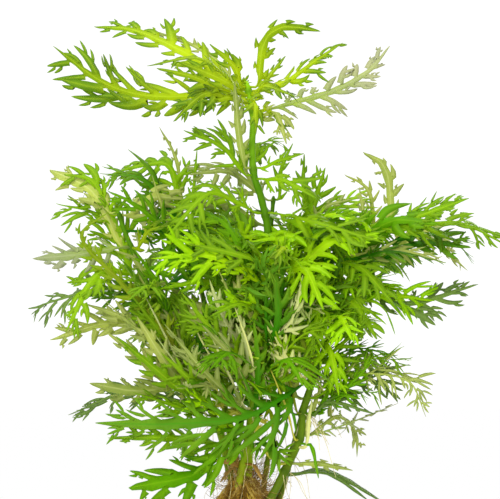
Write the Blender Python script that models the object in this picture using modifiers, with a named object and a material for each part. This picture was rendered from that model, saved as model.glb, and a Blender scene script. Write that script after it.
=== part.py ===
"""Water wisteria: a bushy plant of eight leafy stems that stands on its own root mass.

The origin is on the ground under the middle of the roots. +Z is up and -Y faces the viewer.
"""
import math

import bpy
import bmesh
import numpy as np
from mathutils import Vector
from mathutils.bvhtree import BVHTree

MM = 0.001
PLANT = "water_wisteria"

# The root mass: the radius, height, shift to the left and lumpiness of each ring, ground first.
ROOT_RINGS = ((25, 0, 0, 0.12), (31, 4, 0, 0.16), (32, 11, -1, 0.2), (28, 18, 0, 0.18), (23, 24, 1, 0.12),
              (17.5, 29, 1, 0.06), (11, 30.8, 2, 0.04), (10, 38, 3, 0.06), (9.2, 46, 4, 0.06))
ROOT_SIDES = 20
# The lumps round a ring, as two waves, and how far each wave turns per millimetre of height.
ROOT_LUMPS = (5, 3)
ROOT_TWISTS = (0.3, 0.2)

# A stem: its thickness at the foot and at the tip, and the points that it grows through.
STEM_SIDES = 6
STEM_STEPS = 10
STEMS = {
    "tall": (5.0, 3.4, ((-1, 0, 46.6), (0, 1, 68), (6, 4, 118), (9, 3, 163), (6, 1, 183), (2, -1, 196),
                        (1, -2, 210), (1.5, -2, 226), (-2, -2, 243))),
    "front": (4.4, 2.6, ((-4.5, -5.6, 47), (-1, -8, 63.5), (1, -11, 78.5), (5, -14, 98.5), (9, -16, 118),
                         (12, -17, 138.5), (15, -17, 152))),
    "right": (4.6, 2.8, ((9, -8, 32), (17.5, -6, 48.5), (25, -5, 65), (26.5, -4, 78.5), (31, -2, 93.5),
                         (32.5, 0, 113.5), (40, 2, 138.5), (47, 4, 158), (51, 4, 171))),
    "right_back": (4.0, 2.4, ((14, 2, 32), (22, 10, 60), (31, 20, 90), (47, 30, 133), (62, 34, 156),
                              (67, 34, 166))),
    "thin": (3.2, 2.2, ((6.5, 9, 32), (8, 8, 48), (14, 9, 78), (17, 14, 103), (21, 20, 133), (24, 22, 163),
                        (25, 22, 176))),
    "left": (4.4, 2.4, ((-10, 2, 47), (-16, 4, 70), (-30, 6, 98.5), (-50, 6, 138.5), (-62, 4, 166),
                        (-66, 2, 178))),
    "left_back": (4.0, 2.2, ((-5.5, 6, 47), (-12, 12, 75), (-17, 18, 108), (-27, 24, 148), (-31, 24, 174))),
    "back": (4.0, 2.2, ((-5, 14.5, 32), (0, 20, 60), (2, 28, 90), (8, 38, 140), (12, 40, 186))),
}

# A leaf: its stem, the height where it leaves it, the points its midrib passes after that, the reach of
# its longest lobe to each side, its pairs of lobes, how far its face leans from the sky towards the viewer
# in degrees, and its kind.
LEAVES = {
    "tall_1": ("tall", 238.5, ((-42, -14, 234.5), (-70, -26, 240), (-97, -36, 259)), 18, 5, 65, "young"),
    "tall_2": ("tall", 241, ((-34, 6, 258), (-58, 18, 269), (-79, 30, 271.5)), 12, 4, 50, "young"),
    "tall_4": ("tall", 240, ((7, -6, 262), (17, -11, 269.5), (35, -18, 267)), 8, 3, 75, "young"),
    "tall_5": ("tall", 237, ((20, -13, 243.5), (32, -20, 252), (46, -28, 261)), 10, 4, 50, "young"),
    "tall_6": ("tall", 228, ((20, 6, 232), (43, 18, 239), (60, 26, 249), (71, 32, 262)), 12, 4, 55, "pale"),
    "tall_8": ("tall", 232, ((-22, -22, 236), (-38, -28, 222)), 12, 3, 60, "young"),
    "tall_9": ("tall", 199.5, ((-8, -10, 218), (-12.5, -12, 243)), 9, 3, 90, "pale"),
    "tall_10": ("tall", 196, ((-14, -12, 210), (-33, -18, 218)), 12, 4, 55, "mature"),
    "tall_11": ("tall", 194, ((17, -14, 193), (33, -20, 184)), 12, 3, 60, "young"),
    "tall_12": ("tall", 177, ((30, -14, 173), (67, -22, 162)), 13, 4, 42, "mature"),
    "tall_13": ("tall", 177, ((-10, -10, 184), (-22, -16, 186), (-42, -24, 164)), 13, 3, 65, "mature"),
    "tall_14": ("tall", 201, ((4, 20, 212), (10, 48, 212)), 13, 3, 20, "mature"),
    "tall_15": ("tall", 228, ((-6, 18, 240), (-14, 44, 245)), 13, 3, 20, "young"),
    "front_1": ("front", 151, ((-5, -28, 156), (-31, -34, 162)), 14, 4, 50, "mature"),
    "front_2": ("front", 140, ((-20, -34, 152), (-50, -38, 148)), 13, 4, 60, "young"),
    "front_3": ("front", 112, ((14, -30, 126), (12, -34, 152)), 11, 3, 90, "deep"),
    "front_4": ("front", 144, ((27, -32, 149), (36, -44, 129)), 14, 3, 60, "young"),
    "front_5": ("front", 78, ((-10, -28, 64), (-28, -36, 48)), 15, 3, 75, "deep"),
    "front_6": ("front", 98, ((18, -40, 104), (26, -64, 92)), 13, 3, 45, "deep"),
    "front_7": ("front", 100, ((-10, -42, 108), (-20, -66, 100)), 13, 3, 45, "deep"),
    "right_1": ("right", 170.3, ((76, -14, 173), (108, -36, 184)), 13, 4, 45, "mature"),
    "right_2": ("right", 166, ((75, 8, 168.5), (105, 16, 172), (131, 20, 160)), 14, 4, 45, "mature"),
    "right_3": ("right", 152, ((56, -16, 149), (71, -24, 132)), 11, 3, 55, "mature"),
    "right_5": ("right", 134, ((52, -10, 131), (63, -16, 114)), 10, 3, 60, "mature"),
    "right_6": ("right", 94, ((60, -10, 97), (79, -20, 93), (87, -28, 76)), 12, 4, 48, "pale"),
    "right_7": ("right", 93, ((17, -28, 86), (-4, -40, 76), (-40, -44, 73),
                      (-76, -42, 73.5)), 20, 5, 75, "deep"),
    "right_8": ("right", 66, ((44, 8, 75), (53, 18, 67), (54, 24, 54)), 8, 3, 60, "pale"),
    "right_9": ("right", 118, ((44, -26, 126), (50, -52, 114)), 13, 3, 30, "young"),
    "right_back_1": ("right_back", 165, ((71, 30, 186), (67.5, 27, 201), (57, 24, 208)), 10, 4, 90, "pale"),
    "right_back_2": ("right_back", 140, ((82, 26, 134), (114, 44, 147)), 12, 4, 42, "deep"),
    "right_back_3": ("right_back", 156, ((88, 40, 166), (111, 52, 148)), 10, 3, 55, "pale"),
    "right_back_4": ("right_back", 104, ((58, 28, 102), (75, 30, 81)), 13, 3, 60, "mature"),
    "right_back_5": ("right_back", 150, ((66, 58, 158), (74, 84, 147)), 14, 3, 20, "mature"),
    "right_back_6": ("right_back", 116, ((50, 52, 126), (58, 80, 112)), 14, 3, 20, "mature"),
    "left_1": ("left", 177, ((-82, 8, 190), (-101, 22, 199)), 12, 3, 65, "pale"),
    "left_2": ("left", 160, ((-86, -16, 156), (-109, -34, 154)), 14, 3, 50, "pale"),
    "left_3": ("left", 139, ((-80, 14, 138), (-111, 28, 129)), 12, 4, 45, "mature"),
    "left_4": ("left", 146, ((-76, -20, 146), (-91, -36, 118)), 11, 3, 70, "mature"),
    "left_5": ("left", 118, ((-70, -12, 122), (-99, -28, 114)), 12, 3, 72, "pale"),
    "left_6": ("left", 92, ((-55, -16, 90), (-79, -34, 96)), 13, 3, 65, "pale"),
    "left_7": ("left", 80, ((-60, 16, 87), (-92, 30, 75)), 12, 4, 45, "deep"),
    "left_8": ("left", 98, ((-42, -12, 118), (-66, -18, 145), (-84, -22, 166),
                      (-70, -20, 179)), 9, 4, 85, "deep"),
    "left_9": ("left", 54, ((-30, -16, 46), (-60, -30, 41)), 16, 3, 75, "deep"),
    "left_back_1": ("left_back", 172, ((-40, 22, 200), (-56, 28, 201), (-73, 36, 196)), 12, 3, 65, "mature"),
    "left_back_2": ("left_back", 150, ((-42, 0, 168), (-57, -14, 181), (-71, -18, 188)), 11, 3, 60, "deep"),
    "left_back_3": ("left_back", 146, ((-44, 50, 158), (-52, 78, 148)), 14, 3, 20, "mature"),
    "left_back_4": ("left_back", 112, ((-40, 42, 124), (-62, 64, 110)), 14, 3, 20, "mature"),
    "back_1": ("back", 158, ((24, 62, 168), (34, 88, 156)), 14, 3, 20, "mature"),
    "back_2": ("back", 160, ((-10, 60, 172), (-20, 84, 160)), 14, 3, 20, "mature"),
    "back_3": ("back", 110, ((14, 60, 120), (18, 88, 104)), 14, 3, 20, "mature"),
    "back_4": ("back", 94, ((-18, 50, 100), (-36, 76, 86)), 14, 3, 20, "deep"),
}

# The small young leaves, listed in the same way. Each is one piece with its stem.
SMALL_LEAVES = {
    "tall_a": ("tall", 242, ((-7, -9, 251), (-11.5, -12, 259)), 3.5, 2, 90, "young"),
    "tall_b": ("tall", 239.5, ((-26, -12, 254), (-53, -18, 250)), 5, 3, 35, "young"),
    "tall_c": ("tall", 230, ((3, -15, 230), (3, -20, 214)), 7, 2, 80, "young"),
    "tall_d": ("tall", 225.5, ((13, -10, 227), (18, -16, 211)), 8, 2, 75, "pale"),
    "tall_e": ("tall", 238, ((10, 6, 246), (18, 12, 256)), 6, 2, 70, "young"),
    "tall_f": ("tall", 199.5, ((14, -6, 203), (27, -8, 206.5)), 5, 2, 55, "mature"),
    "tall_g": ("tall", 150, ((24, -4, 156), (38, -6, 150)), 8, 2, 55, "mature"),
    "tall_h": ("tall", 150, ((-8, -2, 158), (-24, -2, 156)), 8, 2, 55, "mature"),
    "tall_i": ("tall", 120, ((-10, -4, 127), (-27, -8, 120)), 8, 2, 55, "deep"),
    "tall_j": ("tall", 92, ((-12, -6, 99), (-28, -12, 92)), 8, 2, 55, "deep"),
    "tall_k": ("tall", 238.8, ((-22, 16, 258), (-50, 20, 269.5)), 6, 3, 50, "pale"),
    "tall_l": ("tall", 235.5, ((-28, -22, 244), (-49, -30, 249)), 8, 3, 50, "young"),
    "front_a": ("front", 118, ((-4, -26, 134), (-6, -28, 158)), 5, 2, 90, "pale"),
    "front_b": ("front", 82, ((11, -22, 76), (12.5, -28, 57.5)), 5, 2, 75, "young"),
    "front_c": ("front", 150, ((17, -36, 160), (12, -54, 154)), 9, 2, 45, "young"),
    "front_d": ("front", 126, ((-4, -34, 132), (-18, -52, 126)), 9, 2, 45, "mature"),
    "front_e": ("front", 62, ((8, -22, 62), (20, -36, 52)), 8, 2, 55, "deep"),
    "right_a": ("right", 161, ((57, 8, 173), (55, 9, 190)), 5, 2, 90, "pale"),
    "right_b": ("right", 62, ((31, -12, 60), (34, -16, 45)), 6, 2, 75, "deep"),
    "right_c": ("right", 76, ((40, -12, 83), (62, -18, 77)), 6, 3, 40, "deep"),
    "right_d": ("right", 46, ((40, 14, 47), (70, 34, 29)), 6, 3, 50, "pale"),
    "right_e": ("right", 94, ((35.5, 2, 89), (33, 5, 77), (29.5, 6, 63)), 4, 1, 85, "pale"),
    "right_f": ("right", 136, ((30, -16, 142), (22, -30, 138)), 8, 2, 45, "young"),
    "right_g": ("right", 110, ((20, -14, 116), (8, -24, 108)), 8, 2, 55, "mature"),
    "right_h": ("right", 156, ((76, -4, 158), (97, -18, 152)), 8, 3, 50, "pale"),
    "right_i": ("right", 52, ((34, -8, 52), (51, -18, 49)), 8, 3, 55, "deep"),
    "thin_a": ("thin", 174.5, ((27, 24, 191), (27.5, 24, 207)), 6, 2, 90, "mature"),
    "thin_b": ("thin", 172, ((34, 20, 187), (38, 18, 200)), 8, 3, 85, "mature"),
    "thin_c": ("thin", 167, ((38, 14, 180), (51, 12, 184)), 6, 3, 60, "pale"),
    "thin_d": ("thin", 158, ((32, 42, 170), (40, 66, 164)), 10, 2, 20, "mature"),
    "thin_e": ("thin", 130, ((30, 14, 140), (43, 10, 140)), 8, 2, 60, "mature"),
    "left_a": ("left", 130, ((-50, -26, 138), (-60, -50, 128)), 10, 3, 35, "mature"),
    "left_b": ("left", 84, ((-46, -17, 97), (-57, -20, 107), (-71, -24, 118)), 9, 3, 70, "pale"),
    "left_c": ("left", 160, ((-48, -6, 172), (-36, -14, 178)), 9, 2, 60, "young"),
    "left_d": ("left", 102, ((-54, -20, 122), (-76, -30, 132)), 9, 3, 65, "pale"),
    "left_back_a": ("left_back", 173, ((-37, 32, 203), (-46, 34, 221)), 4, 3, 85, "pale"),
    "left_back_b": ("left_back", 170, ((-28, 12, 192), (-26.5, 10, 209)), 4, 1, 90, "mature"),
    "left_back_c": ("left_back", 156, ((-42, 4, 176), (-48, -2, 194)), 3.5, 1, 90, "pale"),
    "left_back_d": ("left_back", 125, ((-32, 10, 133), (-46, 4, 131)), 8, 2, 60, "mature"),
    "back_a": ("back", 184, ((16, 46, 200), (22, 52, 213)), 6, 2, 60, "mature"),
    "back_b": ("back", 130, ((-8, 52, 140), (-20, 66, 134)), 8, 2, 20, "mature"),
    "right_back_a": ("right_back", 162, ((60, 22, 188), (47.5, 16, 196.5)), 5, 3, 85, "pale"),
    "right_back_b": ("right_back", 128, ((60, 18, 137), (73, 12, 133)), 8, 2, 60, "mature"),
    "right_back_c": ("right_back", 84, ((44, 32, 87), (56, 44, 77)), 8, 2, 40, "mature"),
}

# The blade's thickness, the width of the stalk, and the half width of the wing between the lobes.
BLADE = 0.5
STALK = 1.6
WING = 1.5
# The lobes stand between these two shares of a leaf's length, and slant forwards by this much of their reach.
STALK_SHARE = 0.16
TIP_SHARE = 0.72
LOBE_SLANT = 1.1
# A lobe's point and its far root, as shares of the way to the next lobe.
LOBE_POINT = 0.25
LOBE_END = 0.55
# The reach of the shortest lobe as a share of the longest, and the part of an arch that the lobes follow.
LOBE_LEAST = 0.42
ARCH_FROM = 0.18
ARCH_TO = 0.9
# The tooth of the leaf's end: its place as a share of the end's length, and its share of the longest reach.
TOOTH_PLACE = 0.3
TOOTH_REACH = 0.28
# A leaf with this many pairs of lobes or fewer has lobes that meet at their roots.
FEW_PAIRS = 2
# The gap between a leaf and its stem, how far the stalk runs straight out, and the clearance between leaves.
STEM_GAP = 0.6
STALK_START = 4
CLEAR = 0.22
# How much a stalk leans towards its leaf, and how deep a small leaf starts in its stem, in stem radii.
STALK_LEAN = 0.6
SMALL_START = 0.3
# A leaf is moved clear by swings in these steps, up to this many each way in depth and to the side. A swing
# to the side counts this many times as much as one in depth.
SWING = 0.05
DEPTH_SWINGS = 10
SIDE_SWINGS = 3
SIDE_COST = 6
# A leaf that points at the viewer by more than this swings up and down in place of in depth.
POINTS_AT_VIEWER = 0.8
# The tube that stands for a stem while the leaves are moved clear: its sides, and how much wider it is.
CLEAR_SIDES = 8
CLEAR_STEM = 0.25
# How much the blade curls back towards its edges, and the points along a midrib.
CURL = 0.010
MIDRIB_STEPS = 48
# A curve is walked in this many times more steps than it is drawn in, and points this close are one.
FINER = 8
WELD = 0.01
SATIN = 0.45

COLOURS = {
    "young": (0.36, 0.60, 0.04),
    "mature": (0.16, 0.38, 0.03),
    "deep": (0.06, 0.27, 0.02),
    "pale": (0.35, 0.45, 0.18),
    "stem": (0.13, 0.33, 0.03),
    "roots": (0.23, 0.11, 0.03),
}


def clear_scene():
    for thing in list(bpy.data.objects):
        bpy.data.objects.remove(thing)


def material(name):
    made = bpy.data.materials.new(name)
    made.use_nodes = True
    shader = made.node_tree.nodes["Principled BSDF"]
    shader.inputs["Base Color"].default_value = (*COLOURS[name], 1)
    shader.inputs["Roughness"].default_value = SATIN
    return made


def smooth_path(points, steps):
    """A smooth curve of cubics through the points; its slope at each is that between its neighbours."""
    points = np.array(points, float)
    ends = np.vstack([2 * points[0] - points[1], points, 2 * points[-1] - points[-2]])
    along = np.linspace(0, len(points) - 1, steps + 1)
    piece = np.minimum(along.astype(int), len(points) - 2)
    t = (along - piece)[:, None]
    before, start, end, after = (ends[piece + k] for k in range(4))
    bend = 2 * before - 5 * start + 4 * end - after
    turn = 3 * start - before - 3 * end + after
    return start + 0.5 * t * ((end - before) + t * (bend + t * turn))


def even_path(points, steps):
    """The same curve with its points spaced evenly, and its length."""
    fine = smooth_path(points, FINER * steps)
    walked = np.concatenate([[0], np.cumsum(np.linalg.norm(np.diff(fine, axis=0), axis=1))])
    marks = np.linspace(0, walked[-1], steps + 1)
    return np.column_stack([np.interp(marks, walked, fine[:, k]) for k in range(3)]), walked[-1]


def unit(rows):
    return rows / np.linalg.norm(rows, axis=-1, keepdims=True)


def stem_at(stem, height):
    """The middle of the stem at a height, and its radius there."""
    foot, tip, points = STEMS[stem]
    line, _ = even_path(points, MIDRIB_STEPS)
    share = np.interp(height, line[:, 2], np.linspace(0, 1, len(line)))
    x, y = (np.interp(height, line[:, 2], line[:, k]) for k in range(2))
    return np.array([x, y, height]), 0.5 * (foot + (tip - foot) * share)


def leaf_outline(length, reach, pairs):
    """The flat outline as (along, across) points: a stalk, slanting lobes longest mid-leaf, a toothed end."""
    first = STALK_SHARE * length
    spacing = (TIP_SHARE * length - first) / pairs
    side = [(0, 0.5 * STALK)]
    for lobe in range(pairs):
        root = first + lobe * spacing
        out = reach * lobe_reach((lobe + 0.5) / pairs)
        side += [(root, WING), (root + LOBE_POINT * spacing + LOBE_SLANT * out, out)]
        side += [(root + LOBE_END * spacing, WING)] if pairs > FEW_PAIRS else []
    end = TIP_SHARE * length
    side += [(end, WING), (end + TOOTH_PLACE * (length - end), TOOTH_REACH * reach)]
    return side + [(length, 0)] + [(along, -across) for along, across in reversed(side)]


def lobe_reach(place):
    """A lobe's length as a share of the longest, from 0 at the first lobe to 1 at the last."""
    arch = math.sin(math.pi * (ARCH_FROM + (ARCH_TO - ARCH_FROM) * place))
    return LOBE_LEAST + (1 - LOBE_LEAST) * arch


def midrib(leaf):
    """The midrib's points to the leaf's tip: from the skin of the stem, or a small leaf's from inside it."""
    stem, height, points = leaf[:3]
    middle, radius = stem_at(stem, height)
    away = np.array(points[0]) - middle
    level = unit(away * (1, 1, 0))
    edge = middle + level * (radius + STEM_GAP)
    start = middle + level * SMALL_START * radius if is_small(leaf) else edge
    return [start, edge + STALK_START * unit(level + STALK_LEAN * unit(away)), *points]


def is_small(leaf):
    return leaf in SMALL_LEAVES.values()


def facing(leaf):
    lean = math.radians(leaf[5])
    return np.array([0, -math.sin(lean), math.cos(lean)])


def on_blade(flat, line, length, face):
    """The flat (along, across) points laid on the bent blade, and the way that the blade faces there."""
    flat = np.array(flat)
    marks = np.linspace(0, length, len(line))
    slopes = unit(np.gradient(line, axis=0))
    place = np.column_stack([np.interp(flat[:, 0], marks, line[:, k]) for k in range(3)])
    slope = unit(np.column_stack([np.interp(flat[:, 0], marks, slopes[:, k]) for k in range(3)]))
    across = unit(np.cross(face, slope))
    out = np.cross(slope, across)
    side = flat[:, 1:2]
    return place + across * side - out * CURL * side**2, out


def turned(points, pivot, swing):
    """The points turned about the pivot by the smallest turn that moves the leaf's tip by the swing."""
    chord = unit(points[-1] - pivot)
    depth = np.array([0, 1.0, 0]) if abs(chord[1]) < POINTS_AT_VIEWER else np.array([1.0, 0, 0])
    deeper = unit(depth - chord * (depth @ chord))
    aside = np.cross(chord, deeper)
    goal = chord + swing[0] * deeper + swing[1] * aside
    turn = Vector(chord).rotation_difference(Vector(goal)).to_matrix()
    return (np.array(points) - pivot) @ np.array(turn).T + pivot


def swings():
    """The turns to try, the smallest first, and those in depth before those that show from the front."""
    found = [(SWING * a, SWING * b) for a in range(-DEPTH_SWINGS, DEPTH_SWINGS + 1)
             for b in range(-SIDE_SWINGS, SIDE_SWINGS + 1)]
    return sorted(found, key=lambda s: (round(s[0] ** 2 + SIDE_COST * s[1] ** 2, 6), s))


def leaf_sheet(leaf, swing):
    """The bent blade's outline points and the way that each faces."""
    line, length = even_path(midrib(leaf), MIDRIB_STEPS)
    line = turned(line, line[0], swing)
    return on_blade(leaf_outline(length, leaf[3], leaf[4]), line, length, facing(leaf))


def flat_faces(leaf):
    """The triangles that fill the leaf's flat outline."""
    _, length = even_path(midrib(leaf), MIDRIB_STEPS)
    mesh = bmesh.new()
    corners = [mesh.verts.new((*point, 0)) for point in leaf_outline(length, leaf[3], leaf[4])]
    face = mesh.faces.new(corners)
    filled = bmesh.ops.triangulate(mesh, faces=[face], ngon_method="BEAUTY")["faces"]
    mesh.verts.index_update()
    faces = [[corner.index for corner in triangle.verts] for triangle in filled]
    mesh.free()
    return faces


def skin(points, out, faces):
    """A closed skin a little outside the leaf, to try whether the leaf is clear of the others."""
    count = len(points)
    half = (0.5 * BLADE + CLEAR) * out
    rim = [(k, (k + 1) % count, count + (k + 1) % count, count + k) for k in range(count)]
    back = [[count + k for k in reversed(face)] for face in faces]
    return BVHTree.FromPolygons(np.vstack([points + half, points - half]).tolist(), faces + back + rim)


def stem_skin(stem):
    foot, tip, points = STEMS[stem]
    line, _ = even_path(points, 2 * STEM_STEPS)
    angles = np.linspace(0, 2 * math.pi, CLEAR_SIDES, endpoint=False)
    radius = 0.5 * np.linspace(foot, tip, len(line)) + CLEAR_STEM
    ring = np.column_stack([np.cos(angles), np.sin(angles), 0 * angles])
    rows = line[:, None, :] + ring[None] * radius[:, None, None]
    index = np.arange(len(line) * CLEAR_SIDES).reshape(-1, CLEAR_SIDES)
    ahead = np.roll(index, -1, axis=1)
    faces = np.stack([index[:-1], ahead[:-1], ahead[1:], index[1:]], axis=-1).reshape(-1, 4)
    return BVHTree.FromPolygons(rows.reshape(-1, 3).tolist(), faces.tolist())


def settle(leaves):
    """Each leaf's place: those nearest the viewer keep theirs, and one behind swings until it is clear."""
    stems = {stem: stem_skin(stem) for stem in STEMS}
    taken = []
    places = {}
    for name in sorted(leaves, key=lambda key: (is_small(leaves[key]), leaves[key][2][-1][1])):
        leaf = leaves[name]
        faces = flat_faces(leaf)
        others = taken + [wood for stem, wood in stems.items() if stem != leaf[0] or not is_small(leaf)]
        for swing in swings():
            points, out = leaf_sheet(leaf, swing)
            tried = skin(points, out, faces)
            if not any(tried.overlap(other) for other in others):
                break
        else:
            raise RuntimeError("no clear place for leaf " + name)
        taken.append(tried)
        places[name] = (points, faces)
    return places


def link(collection, thing, paint):
    thing.data.materials.append(paint)
    collection.objects.link(thing)
    return thing


def make_leaf(name, points, faces, paint, collection):
    """A leaf: its lobed outline filled, bent as it grows and given its thickness."""
    mesh = bpy.data.meshes.new(name)
    mesh.from_pydata((points * MM).tolist(), [], faces)
    leaf = link(collection, bpy.data.objects.new(name, mesh), paint)
    wall = leaf.modifiers.new("blade", "SOLIDIFY")
    wall.thickness = BLADE * MM
    wall.offset = 0
    return leaf


def make_stem(stem, small_leaves, paint, collection):
    """A stem: a tube that thins towards its tip, on a smooth curve, made one piece with its small leaves."""
    tube = make_tube(stem)
    mesh = bpy.data.meshes.new_from_object(tube.evaluated_get(bpy.context.evaluated_depsgraph_get()))
    welded = bmesh.new()
    welded.from_mesh(mesh)
    bmesh.ops.remove_doubles(welded, verts=welded.verts, dist=WELD * MM)
    welded.to_mesh(mesh)
    welded.free()
    bpy.data.objects.remove(tube)
    made = link(collection, bpy.data.objects.new("stem_" + stem, mesh), paint)
    join = made.modifiers.new("small leaves", "BOOLEAN")
    join.operation = "UNION"
    join.operand_type = "COLLECTION"
    join.collection = small_leaves
    return made


def make_tube(stem):
    foot, tip, points = STEMS[stem]
    line, _ = even_path(points, STEM_STEPS)
    curve = bpy.data.curves.new("stem_" + stem, "CURVE")
    curve.dimensions = "3D"
    curve.bevel_depth = MM
    curve.bevel_resolution = (STEM_SIDES - 4) // 2
    curve.use_fill_caps = True
    spline = curve.splines.new("POLY")
    spline.points.add(len(line) - 1)
    for point, place, thickness in zip(spline.points, line, np.linspace(foot, tip, len(line))):
        point.co = (*(place * MM), 1)
        point.radius = 0.5 * thickness
    tube = bpy.data.objects.new("tube_" + stem, curve)
    bpy.context.scene.collection.objects.link(tube)
    return tube


def make_roots(paint, collection):
    """The root mass: rings spun round the middle, closed at both ends and made lumpy."""
    mesh = bmesh.new()
    radii, heights, shifts, lumps = zip(*ROOT_RINGS)
    profile = [mesh.verts.new((radius, 0, height)) for radius, height in zip(radii, heights)]
    edges = [mesh.edges.new(pair) for pair in zip(profile, profile[1:])]
    bmesh.ops.spin(mesh, geom=profile + edges, cent=(0, 0, 0), axis=(0, 0, 1), angle=2 * math.pi,
                   steps=ROOT_SIDES, use_merge=True)
    bmesh.ops.holes_fill(mesh, edges=[edge for edge in mesh.edges if edge.is_boundary])
    for corner in mesh.verts:
        angle = math.atan2(corner.co.y, corner.co.x)
        height = corner.co.z
        wave = (math.sin(ROOT_LUMPS[0] * angle + ROOT_TWISTS[0] * height)
                * math.cos(ROOT_LUMPS[1] * angle - ROOT_TWISTS[1] * height))
        swell = 1 + np.interp(height, heights, lumps) * wave
        corner.co.x = corner.co.x * swell - np.interp(height, heights, shifts)
        corner.co.y *= swell
        corner.co *= MM
    bmesh.ops.recalc_face_normals(mesh, faces=mesh.faces)
    data = bpy.data.meshes.new("root_mass")
    mesh.to_mesh(data)
    mesh.free()
    return link(collection, bpy.data.objects.new("root_mass", data), paint)


def make_plant():
    clear_scene()
    plant = bpy.data.collections.new(PLANT)
    bpy.context.scene.collection.children.link(plant)
    paints = {name: material(name) for name in COLOURS}
    make_roots(paints["roots"], plant)
    places = settle({**LEAVES, **SMALL_LEAVES})
    for name, leaf in LEAVES.items():
        make_leaf("leaf_" + name, *places[name], paints[leaf[6]], plant)
    for stem in STEMS:
        joined = bpy.data.collections.new("joined_to_" + stem)
        joined.hide_render = True
        bpy.context.scene.collection.children.link(joined)
        for name, leaf in SMALL_LEAVES.items():
            if leaf[0] == stem:
                small = make_leaf("small_" + name, *places[name], paints[leaf[6]], joined)
                small.hide_render = True
                small.display_type = "WIRE"
        make_stem(stem, joined, paints["stem"], plant)


make_plant()
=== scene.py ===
import math

import bpy
import numpy as np
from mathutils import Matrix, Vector


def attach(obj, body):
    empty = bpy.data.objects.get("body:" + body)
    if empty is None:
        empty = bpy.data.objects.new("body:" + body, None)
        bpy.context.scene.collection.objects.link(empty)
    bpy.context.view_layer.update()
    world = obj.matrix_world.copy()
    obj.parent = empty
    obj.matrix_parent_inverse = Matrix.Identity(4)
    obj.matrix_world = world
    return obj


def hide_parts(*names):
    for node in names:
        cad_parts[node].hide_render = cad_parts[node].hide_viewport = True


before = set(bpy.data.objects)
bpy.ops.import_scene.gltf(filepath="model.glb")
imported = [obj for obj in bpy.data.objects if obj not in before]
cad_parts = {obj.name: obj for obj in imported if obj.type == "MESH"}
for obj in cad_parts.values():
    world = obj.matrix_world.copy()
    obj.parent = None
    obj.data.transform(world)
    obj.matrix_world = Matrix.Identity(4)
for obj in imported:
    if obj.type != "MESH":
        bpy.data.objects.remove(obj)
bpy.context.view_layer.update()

# ROOT MASS
# A clump of brown, woody roots round the feet of the stems. Over a lumpy core of matted roots lie hundreds
# of thick roots and fine fibres, which grow out of the crown, run down over it and reach the ground.

MM = 0.001
chance = np.random.default_rng(11)

# Each ring of the core: radius, height and shift to the left in millimetres, ground first.
CORE_RINGS = ((24.5, 0, 0), (29.5, 4, 0), (30, 11, -1), (26.5, 18, 0), (21.5, 24, 1), (16, 28.6, 1.2),
              (11.5, 31.5, 2), (8.4, 36, 2.6), (6.0, 40, 3.2), (4.2, 43, 3.6), (2, 45, 3.8))
CORE_COLUMNS = 120
CORE_ROWS = 72
# The height of the core's lumps, as a share of its radius, and of the fine ridges on it, in millimetres.
LUMPS, RIDGES = 0.09, 0.35
# The fine fibres and the thick roots, the stations along each, and the sides of a fibre and of a root.
FIBRES, FIBRE_STEPS, FIBRE_SIDES = 1000, 20, 4
THICK_ROOTS, THICK_STEPS, THICK_SIDES = 230, 26, 6
# The heights of the crown's top, where a root starts at most, and of its neck, above which roots stand off.
CROWN_TOP, NECK = 45.5, 40


def unit(rows):
    """Each row divided by its own length."""
    return rows / np.linalg.norm(rows, axis=-1, keepdims=True)


def core_at(height):
    """The core's radius and middle at a height: straight lines between its rings."""
    radii, heights, shifts = np.array(CORE_RINGS, float).T
    return np.interp(height, heights, radii), -np.interp(height, heights, shifts)


def with_lumps(radius, angle, height):
    """The core's radius with its lumps: r (1 + 0.09 sin(5a + 0.2z) cos(3a - 0.2z)), a = angle, z = height."""
    return radius * (1 + LUMPS * np.sin(5 * angle + 0.2 * height) * np.cos(3 * angle - 0.2 * height))


def ring_quads(index):
    """The quads between the rings of an index grid: (..., ring, place round it)."""
    ahead = np.roll(index, -1, axis=-1)
    return np.stack([index[..., :-1, :], ahead[..., :-1, :], ahead[..., 1:, :], index[..., 1:, :]],
                    axis=-1).reshape(-1, 4)


def core_skin():
    """A grid of rings: radius = the lumpy core's + 0.35 sin(46a + 4 sin(0.3z + 2a)), closed at both ends.

    The last term is the fine ridges, which run down the core and wander.
    """
    angle = np.linspace(0, 2 * np.pi, CORE_COLUMNS, endpoint=False)[None]
    height = np.linspace(0, CORE_RINGS[-1][1], CORE_ROWS)[:, None]
    radius, middle = core_at(height)
    ridge = RIDGES * np.sin(46 * angle + 4 * np.sin(0.3 * height + 2 * angle))
    reach = with_lumps(radius, angle, height) + ridge
    grid = np.stack([middle + reach * np.cos(angle), reach * np.sin(angle), height + 0 * angle], axis=-1)
    index = np.arange(CORE_ROWS * CORE_COLUMNS).reshape(CORE_ROWS, CORE_COLUMNS)
    ahead = np.roll(index, -1, axis=1)
    ends = np.array([[core_at(0)[1], 0, 0], [core_at(CORE_RINGS[-1][1])[1], 0, CORE_RINGS[-1][1]]])
    under = np.stack([ahead[0], index[0], np.full(CORE_COLUMNS, index.size)], axis=-1)
    over = np.stack([index[-1], ahead[-1], np.full(CORE_COLUMNS, index.size + 1)], axis=-1)
    return np.vstack([grid.reshape(-1, 3), ends]), ring_quads(index), np.vstack([under, over])


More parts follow.
